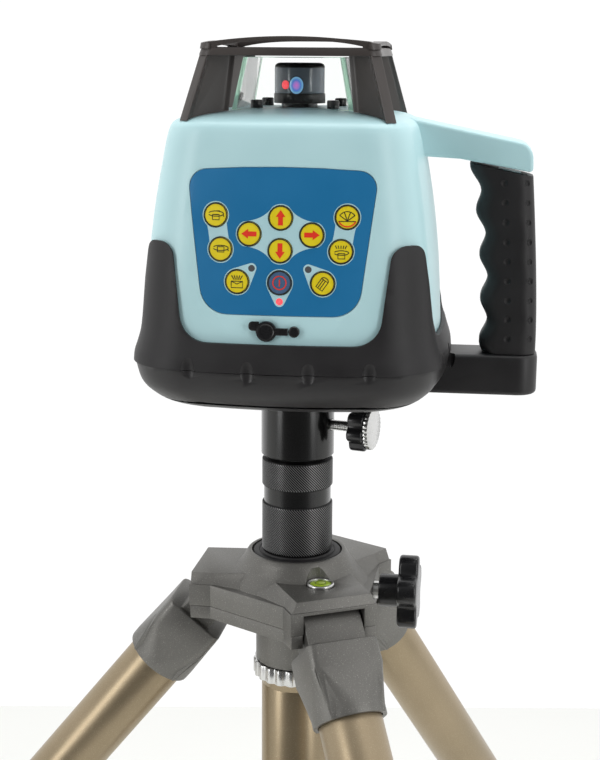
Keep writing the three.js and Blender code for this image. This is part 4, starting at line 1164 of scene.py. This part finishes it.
def make_crown():
    roof = square_stack([[178, 46.7, 7], [182.6, 45.2, 6.5]], bulge=0)
    with editing(roof):
        pick("FACE", lambda middle, normal: abs(normal.z) > 0.9)
        bpy.ops.mesh.inset(thickness=6, use_individual=True)
        scale_about((0, 0, 180.5), 1, 1, 0.5)
    soften(roof, 1.0, 3, 30)
    posts, side_arches = all_round(crown_post(), 4, 45), all_round(crown_arch(1.6), 2, 90)
    crown = fused(roof, *posts, *side_arches, *all_round(crown_arch(3.7), 2))
    skin = body_loft(0.3)
    put(skin, move=(0, 0, 0.3))
    return cut(crown, skin)


def make_panes():
    """Four leaning panes whose edges show green."""
    base, top, foot, head, wall = 31.9, 26.6, 151.0, 177.5, 2.4
    pane = start(bpy.ops.mesh.primitive_plane_add, size=1)
    with editing(pane):
        take_all()
        bpy.ops.transform.resize(value=(wall, 2 * (base - wall) - 0.4, 1))
        bpy.ops.transform.translate(value=(base - wall / 2 - 0.2, 0, foot))
        bpy.ops.mesh.select_mode(type="FACE")
        extrude(z=head - foot)
        bpy.ops.transform.translate(value=(top - base, 0, 0))
        scale_about((0, 0, head), 1, (top - wall) / (base - wall))
        take_all()
        face_outward()
        bpy.ops.mesh.bevel(offset=0.25, segments=1, affect="EDGES")
    pane.data.materials.append(PANE)
    pane.data.materials.append(PANE_EDGE)
    for face in pane.data.polygons:
        face.material_index = 0 if abs(face.normal.x) > 0.9 else 1
    return together(all_round(pane, 4))


def make_rotor():
    """The spinning head: base band, smoked body, rounded cap, lens and side beam window."""
    band = soften(turned([[13.6, 153.6], [13.6, 158.4], [13.2, 158.8]], 96), 0.2, 2)
    body = turned([[13.2, 158.8], [13.3, 159.2], [13.3, 171.6], [13.2, 172.2]], 96)
    cap = turned([[13.25, 172.0], [13.2, 172.6], [12.7, 173.6], [11.8, 174.2], [10.6, 174.5]], 96)
    ring = turned([[LENS_RADIUS + 0.05, 0.0], [LENS_RADIUS + 0.3, 0.0], [LENS_RADIUS + 0.3, 0.3],
                   [LENS_RADIUS + 0.05, 0.4]], 48, closed=True)
    glass = turned([[LENS_RADIUS, -0.6], [LENS_RADIUS, 0.2], [LENS_RADIUS * 0.85, 0.55],
                    [LENS_RADIUS * 0.5, 0.85], [0.3, 0.95]], 48)
    beam = turned([[2.2, -0.6], [2.2, 0.25], [1.6, 0.4], [0.2, 0.45]], 32)
    for part, material in ((band, ROTOR_BASE), (body, ROTOR_GLOSS), (cap, ROTOR_BASE), (ring, ROTOR_BASE),
                           (glass, LENS_COAT), (beam, LAMP_RED)):
        part.data.materials.append(material)
    x, y, z = LENS_PLACE
    for part in (ring, glass):
        part.scale = (1, LENS_STRETCH, 1)
        put(part, turn=(90, 0, 0))
        put(part, move=(x, y + 0.25, z))
    put(beam, turn=(90, 0, -30))
    put(beam, move=(-6.0, -11.9, z + 0.2))
    return together([band, body, cap, ring, glass, beam])


def make_platform_screw():
    """A black cap screw with a hexagon socket."""
    screw = turned([[3.2, 149.5], [3.2, 155.2], [2.8, 155.7]], 40)
    cut(screw, turned([[1.5, 153.2], [1.5, 156.5]], 6))
    return soften(screw, 0.15, 2)


# ---- Handle ----
GRIP_FOOT, GRIP_HALF, GRIP_CORNER = 23.2, 13.5, 8.5
FINGER_PITCH, FINGER_FIRST, FINGER_DEPTH = 23.2, 29.1, 4.0


def grip_inner(z):
    """The finger waves, whose crests lean inwards towards the top."""
    phase = (z - FINGER_FIRST) / FINGER_PITCH * TURN
    return 98.5 - 0.00125 * max(0.0, z - 45) ** 2 + FINGER_DEPTH / 2 * (1 - math.cos(phase))


def grip_outer(z):
    share = (z - GRIP_FOOT) / 96
    return 129.3 - 5.2 * share ** 1.5 - 0.6 * (1 - share) ** 6


def make_grip():
    """The moulded grip: finger waves inside, rounded all round, with rows of dimples."""
    steps, top = 60, 127.0
    levels = [GRIP_FOOT + (top - GRIP_FOOT) * step / steps for step in range(steps + 1)]
    inner, outer = grip_inner(levels[0]), grip_outer(levels[0])
    grip = start(bpy.ops.mesh.primitive_plane_add, size=1)
    with editing(grip):
        take_all()
        bpy.ops.transform.resize(value=(outer - inner, 2 * GRIP_HALF, 1))
        bpy.ops.transform.translate(value=((inner + outer) / 2, 0, levels[0]))
        bpy.ops.mesh.bevel(offset=GRIP_CORNER, segments=8, affect="VERTICES")
        bpy.ops.mesh.select_mode(type="FACE")
        for z0, z1 in zip(levels, levels[1:]):
            next_inner, next_outer = grip_inner(z1), grip_outer(z1)
            extrude((next_inner + next_outer - inner - outer) / 2, 0, z1 - z0)
            scale_about(((next_inner + next_outer) / 2, 0, z1), (next_outer - next_inner) / (outer - inner), 1)
            inner, outer = next_inner, next_outer
        take_all()
        bpy.ops.mesh.bisect(plane_co=(97, 0, arm_top(97) - 16.6), plane_no=(ARM_SLOPE, 0, 1), use_fill=True,
                            clear_outer=True)
    tidy_mesh(grip)
    soften(grip, 0.9, 3, 40)
    dimples = []
    for row in range(9):
        z = GRIP_FOOT + 8.5 + 10.3 * row
        for side in (-1, 1):
            dimples.append((grip_outer(z) - 15.4, side * (GRIP_HALF + 1.25), z))
            dimples.append((grip_outer(z) - 2.6, side * (GRIP_HALF - 0.7), z))
    tools = []
    for place in dimples:
        dimple = start(bpy.ops.mesh.primitive_uv_sphere_add, segments=20, ring_count=14, radius=2.3)
        tools.append(put(dimple, move=place))
    core_way = box_tool((105.7, -6.3, 0), (118.3, 6.3, 200))
    return cut(grip, core_way, together(tools))


# ---- Tripod pieces ----
leg_pieces = [make_knuckle(), make_upper_tube(), make_lock_collar(), make_lower_tube(), make_foot()]
leg_rows = (("knuckle", "leg", CASTING, "casting_grey"), ("upper_tube", "leg", CHAMPAGNE, "champagne_tube"),
            ("lock_collar", "leg_lock", BLACK_PLASTIC, "plastic_black"),
            ("lower_tube", "leg_extension", CHAMPAGNE, "champagne_tube"),
            ("foot", "leg_extension", RUBBER, "rubber_black"))
for number, heading in enumerate(LEG_HEADINGS, 1):
    for pattern, (part, body, material, slot) in zip(leg_pieces, leg_rows):
        finish(copied(pattern), f"{part}_shape_{number}", f"{body}_{number}", [f"{part}_{number}"],
               material, matrix=leg_place(heading))
for pattern in leg_pieces:
    bpy.data.objects.remove(pattern)

finish(make_shoulder_top(), "shoulder_casting", "shoulder", ["shoulder_top"], CASTING)
finish(make_shoulder_base(), "shoulder_lower_casting", "shoulder", ["shoulder_base"], CASTING)
nut_low, nut_high = box_mm("column_ring_nut")
finish(make_ring_nut(nut_low.z, nut_high.z), "fluted_ring_nut", "ring_nut", ["column_ring_nut"],
       BRIGHT)
column_low, column_high = box_mm("column_tube")
finish(make_column(column_low.z, column_high.z, nut_low.z), "column_with_bead", "shoulder", ["column_tube"],
       CHAMPAGNE)
cap_low, cap_high = box_mm("column_end_cap")
finish(make_column_cap(cap_low.z, cap_high.z), "column_foot_cap", "shoulder", ["column_end_cap"],
       BLACK_PLASTIC)
collar_low, collar_high = box_mm("mast_collar")
finish(make_collar(collar_low.z, collar_high.z), "mast_guide_collar", "shoulder", ["mast_collar"],
       RUBBER)
level_low, level_high = box_mm("level_ring")
level_turn = math.radians(LEG_HEADINGS[0])
level_spot = (LEVEL_REACH * math.cos(level_turn), LEVEL_REACH * math.sin(level_turn), 0)
finish(make_level_ring(level_low.z, level_high.z), "level_bezel", "shoulder", ["level_ring"],
       BRIGHT, move=level_spot)
finish(make_vial(level_low.z, level_high.z), "level_glass_and_bubble", "shoulder", ["level_vial"],
       None, move=level_spot)
finish(along_heading(make_lock_knob(), LOCK_HEADING, HINGE_HEIGHT + LOCK_RISE), "mast_lock_handwheel",
       "mast_lock", ["mast_lock_knob"], BLACK_PLASTIC)

# ---- Mast and clamp pieces ----
mast_low, mast_high = box_mm("knurled_mast")
sleeve_low, sleeve_high = box_mm("clamp_sleeve")
knurl_foot = collar_high.z + 0.3
band_foot, band_head = knurl_foot + 28, knurl_foot + 37.4
clamp_height = sleeve_high.z + 0.3 - 20.7
finish(make_mast(collar_high.z, mast_low.z, knurl_foot, band_foot, band_head, band_head + 15.6, mast_high.z),
       "mast_with_knurling", "mast", ["knurled_mast"], None)
finish(make_sleeve(sleeve_low.z, sleeve_high.z, clamp_height), "clamp_sleeve_turned", "laser",
       ["clamp_sleeve"], SLEEVE_BLACK)
clamp_thread = along_heading(threaded(3.0, 0.45, 17.0, 41.0, 1.0), CLAMP_HEADING, clamp_height)
finish(clamp_thread, "clamp_screw_thread", "clamp", ["clamp_screw"], BRIGHT)
finish(along_heading(make_clamp_knob(), CLAMP_HEADING, clamp_height), "clamp_knob_fluted", "clamp",
       ["clamp_knob"], None)

# ---- Laser pieces ----
UP = (0, 0, LASER_FOOT)
finish(make_tray(), "guard_tray", "laser", ["base_tray"], TRAY_PLASTIC, move=UP)
finish(make_boot(), "guard_boot", "laser", ["boot"], RUBBER, move=UP)
finish(make_housing(), "housing_shell", "laser", ["housing"], AQUA, move=UP)
finish(make_label(), "keypad_label", "laser", ["keypad_panel"], LABEL_BLUE, move=UP)
pale_shapes = [arrow_star(), dog_bone(KEYS["spin"], KEYS["speed"], 6.8, 4.8),
               dog_bone(KEYS["tilt"], KEYS["scan"], 6.8, 4.8), teardrop(KEYS["alarm"], 6.8, LAMPS["left"], 2.5),
               teardrop(KEYS["manual"], 6.8, LAMPS["right"], 2.5),
               teardrop(KEYS["power"], 6.8, LAMPS["power"], 2.6)]
for index, outline in enumerate(pale_shapes, 1):
    finish(make_print(outline), f"label_print_{index}", "laser", [], None, move=UP)
for name, (x, z) in LAMPS.items():
    lamp = square_to_face(turned([[1.75, -0.3], [1.75, 0.02], [1.2, 0.12], [0.2, 0.16]], 32), x, z)
    finish(lamp, f"lamp_{name}", "laser", [], LAMP_RED if name == "power" else LAMP_GREY, move=UP)
for name in KEYS:
    finish(make_key(name), f"key_cap_{name}", f"key_{name}", [f"key_{name}"],
           None, move=UP)
finish(make_plug(), "port_cover", "port_cover", ["port_plug"], BLACK_PLASTIC, move=UP)
finish(make_anchor(), "port_cover_anchor", "laser", [], BLACK_PLASTIC, move=UP)
finish(make_crown(), "crown_frame", "laser", ["crown"], CROWN_PLASTIC, move=UP, smooth=30)
finish(make_panes(), "lantern_panes", "laser", ["lantern_glass"], None, move=UP, smooth=20)
finish(make_rotor(), "rotor_with_lens", "rotor", ["rotor_head"], None, move=UP)
screw_set = []
for x, y in ((20, 20), (20, -20), (-20, 20), (-20, -20)):
    screw_set.append(put(make_platform_screw(), move=(x, y, 0)))
finish(together(screw_set), "platform_screws", "laser", [], BLACK_PLASTIC, move=UP)
finish(make_grip(), "grip_moulding", "laser", ["handle_grip"], RUBBER, move=UP)

# ---- CAD nodes that stay as they are ----
KEPT = {"hinge_pin_1": BRIGHT, "hinge_pin_2": BRIGHT, "hinge_pin_3": BRIGHT, "mast_lock_stud": BRIGHT,
        "laser_stud": BRIGHT, "thread_insert": BRASS, "charge_socket": BLACK_PLASTIC, "handle_core": AQUA,
        "battery_pack": BLACK_PLASTIC, "main_board": BOARD, "gimbal_ring": BRIGHT, "optics_tube": SLEEVE_BLACK}
for name, material in KEPT.items():
    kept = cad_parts[name]
    kept.data.materials.clear()
    kept.data.materials.append(material)


# ---- Studio ----
def soft_light(name, place, aim, width, height, power):
    lamp = bpy.data.lights.new(name, "AREA")
    lamp.shape = "RECTANGLE"
    lamp.size, lamp.size_y, lamp.energy = width, height, power
    holder = bpy.data.objects.new(name, lamp)
    bpy.context.scene.collection.objects.link(holder)
    holder.location = place
    holder.rotation_euler = (Vector(aim) - Vector(place)).to_track_quat("-Z", "Y").to_euler()


def pale_paper():
    material, tree, shader = blank("pale_floor_paper")
    where = placed(tree)
    slow = noise(tree, where, 400, 2.0)
    settle(shader, Base_Color=ramp(tree, slow, [(0.3, (0.86, 0.865, 0.84)), (0.7, (0.88, 0.885, 0.86))]),
           Roughness=0.6, Normal=bump(tree, noise(tree, where, 1.2), 0.2, 0.05))
    return material


FLOOR_START, FLOOR_END = -0.85, 0.906             # where the paper starts and ends, metres from the mast
floor = start(bpy.ops.mesh.primitive_plane_add, size=1)
with editing(floor):
    take_all()
    bpy.ops.transform.resize(value=(12.0, FLOOR_END - FLOOR_START, 1))
    bpy.ops.transform.translate(value=(0, (FLOOR_END + FLOOR_START) / 2, 0))
put(floor, turn=(0, 0, 7.5))
floor.name = "floor"
floor.data.materials.append(pale_paper())

world = bpy.data.worlds.new("white_studio")
bpy.context.scene.world = world
world.use_nodes = True
sky = world.node_tree
sky_depth = node(sky, "SeparateXYZ", {"Vector": node(sky, "TexCoord")["Generated"]})["Y"]
sky_light = ramp(sky, spread(sky, sky_depth, -1.0, 1.0, 0.0, 1.0),
                 [(0.0, (0.10, 0.10, 0.10)), (0.12, (0.16, 0.16, 0.16)), (0.35, (0.70, 0.70, 0.70)),
                  (0.5, (0.95, 0.95, 0.95)), (0.72, (1.04, 1.04, 1.04))])
sky.links.new(sky_light, sky.nodes["Background"].inputs["Color"])
soft_light("left_soft_box", (-1.15, -0.95, 1.0), (0, 0, 0.95), 0.40, 1.5, 8.5)
soft_light("right_soft_box", (1.25, -0.85, 1.0), (0, 0, 0.95), 0.40, 1.5, 7.5)
soft_light("top_soft_box", (0.1, 0.3, 2.1), (0, 0, 0.7), 1.4, 1.1, 14)
bpy.context.scene.view_settings.view_transform = "Standard"

# ---- Camera ----
CAMERA_TURN, CAMERA_PITCH, CAMERA_ROLL = math.radians(7.2), math.radians(12.4), math.radians(0.35)
CAMERA_REACH, CAMERA_RISE = 0.811, 0.181
SENSOR_MM, LENS_MM, CAMERA_SHIFT = 36.0, 71.052632, 0.0025
camera_data = bpy.data.cameras.new("camera")
camera_data.sensor_width = SENSOR_MM
camera_data.lens = LENS_MM
camera_data.shift_x = CAMERA_SHIFT
camera = bpy.data.objects.new("camera", camera_data)
bpy.context.scene.collection.objects.link(camera)
heading = Vector((-math.sin(CAMERA_TURN) * math.cos(CAMERA_PITCH),
                  math.cos(CAMERA_TURN) * math.cos(CAMERA_PITCH), -math.sin(CAMERA_PITCH)))
across = Vector((math.cos(CAMERA_TURN), math.sin(CAMERA_TURN), 0))
upward = across.cross(heading)
facing = Matrix((across, upward, -heading)).transposed().to_4x4()
camera.matrix_world = (Matrix.Translation((CAMERA_REACH * math.sin(CAMERA_TURN),
                                           -CAMERA_REACH * math.cos(CAMERA_TURN),
                                           LASER_FOOT * MM + CAMERA_RISE))
                       @ facing @ Matrix.Rotation(CAMERA_ROLL, 4, "Z"))
bpy.context.scene.camera = camera
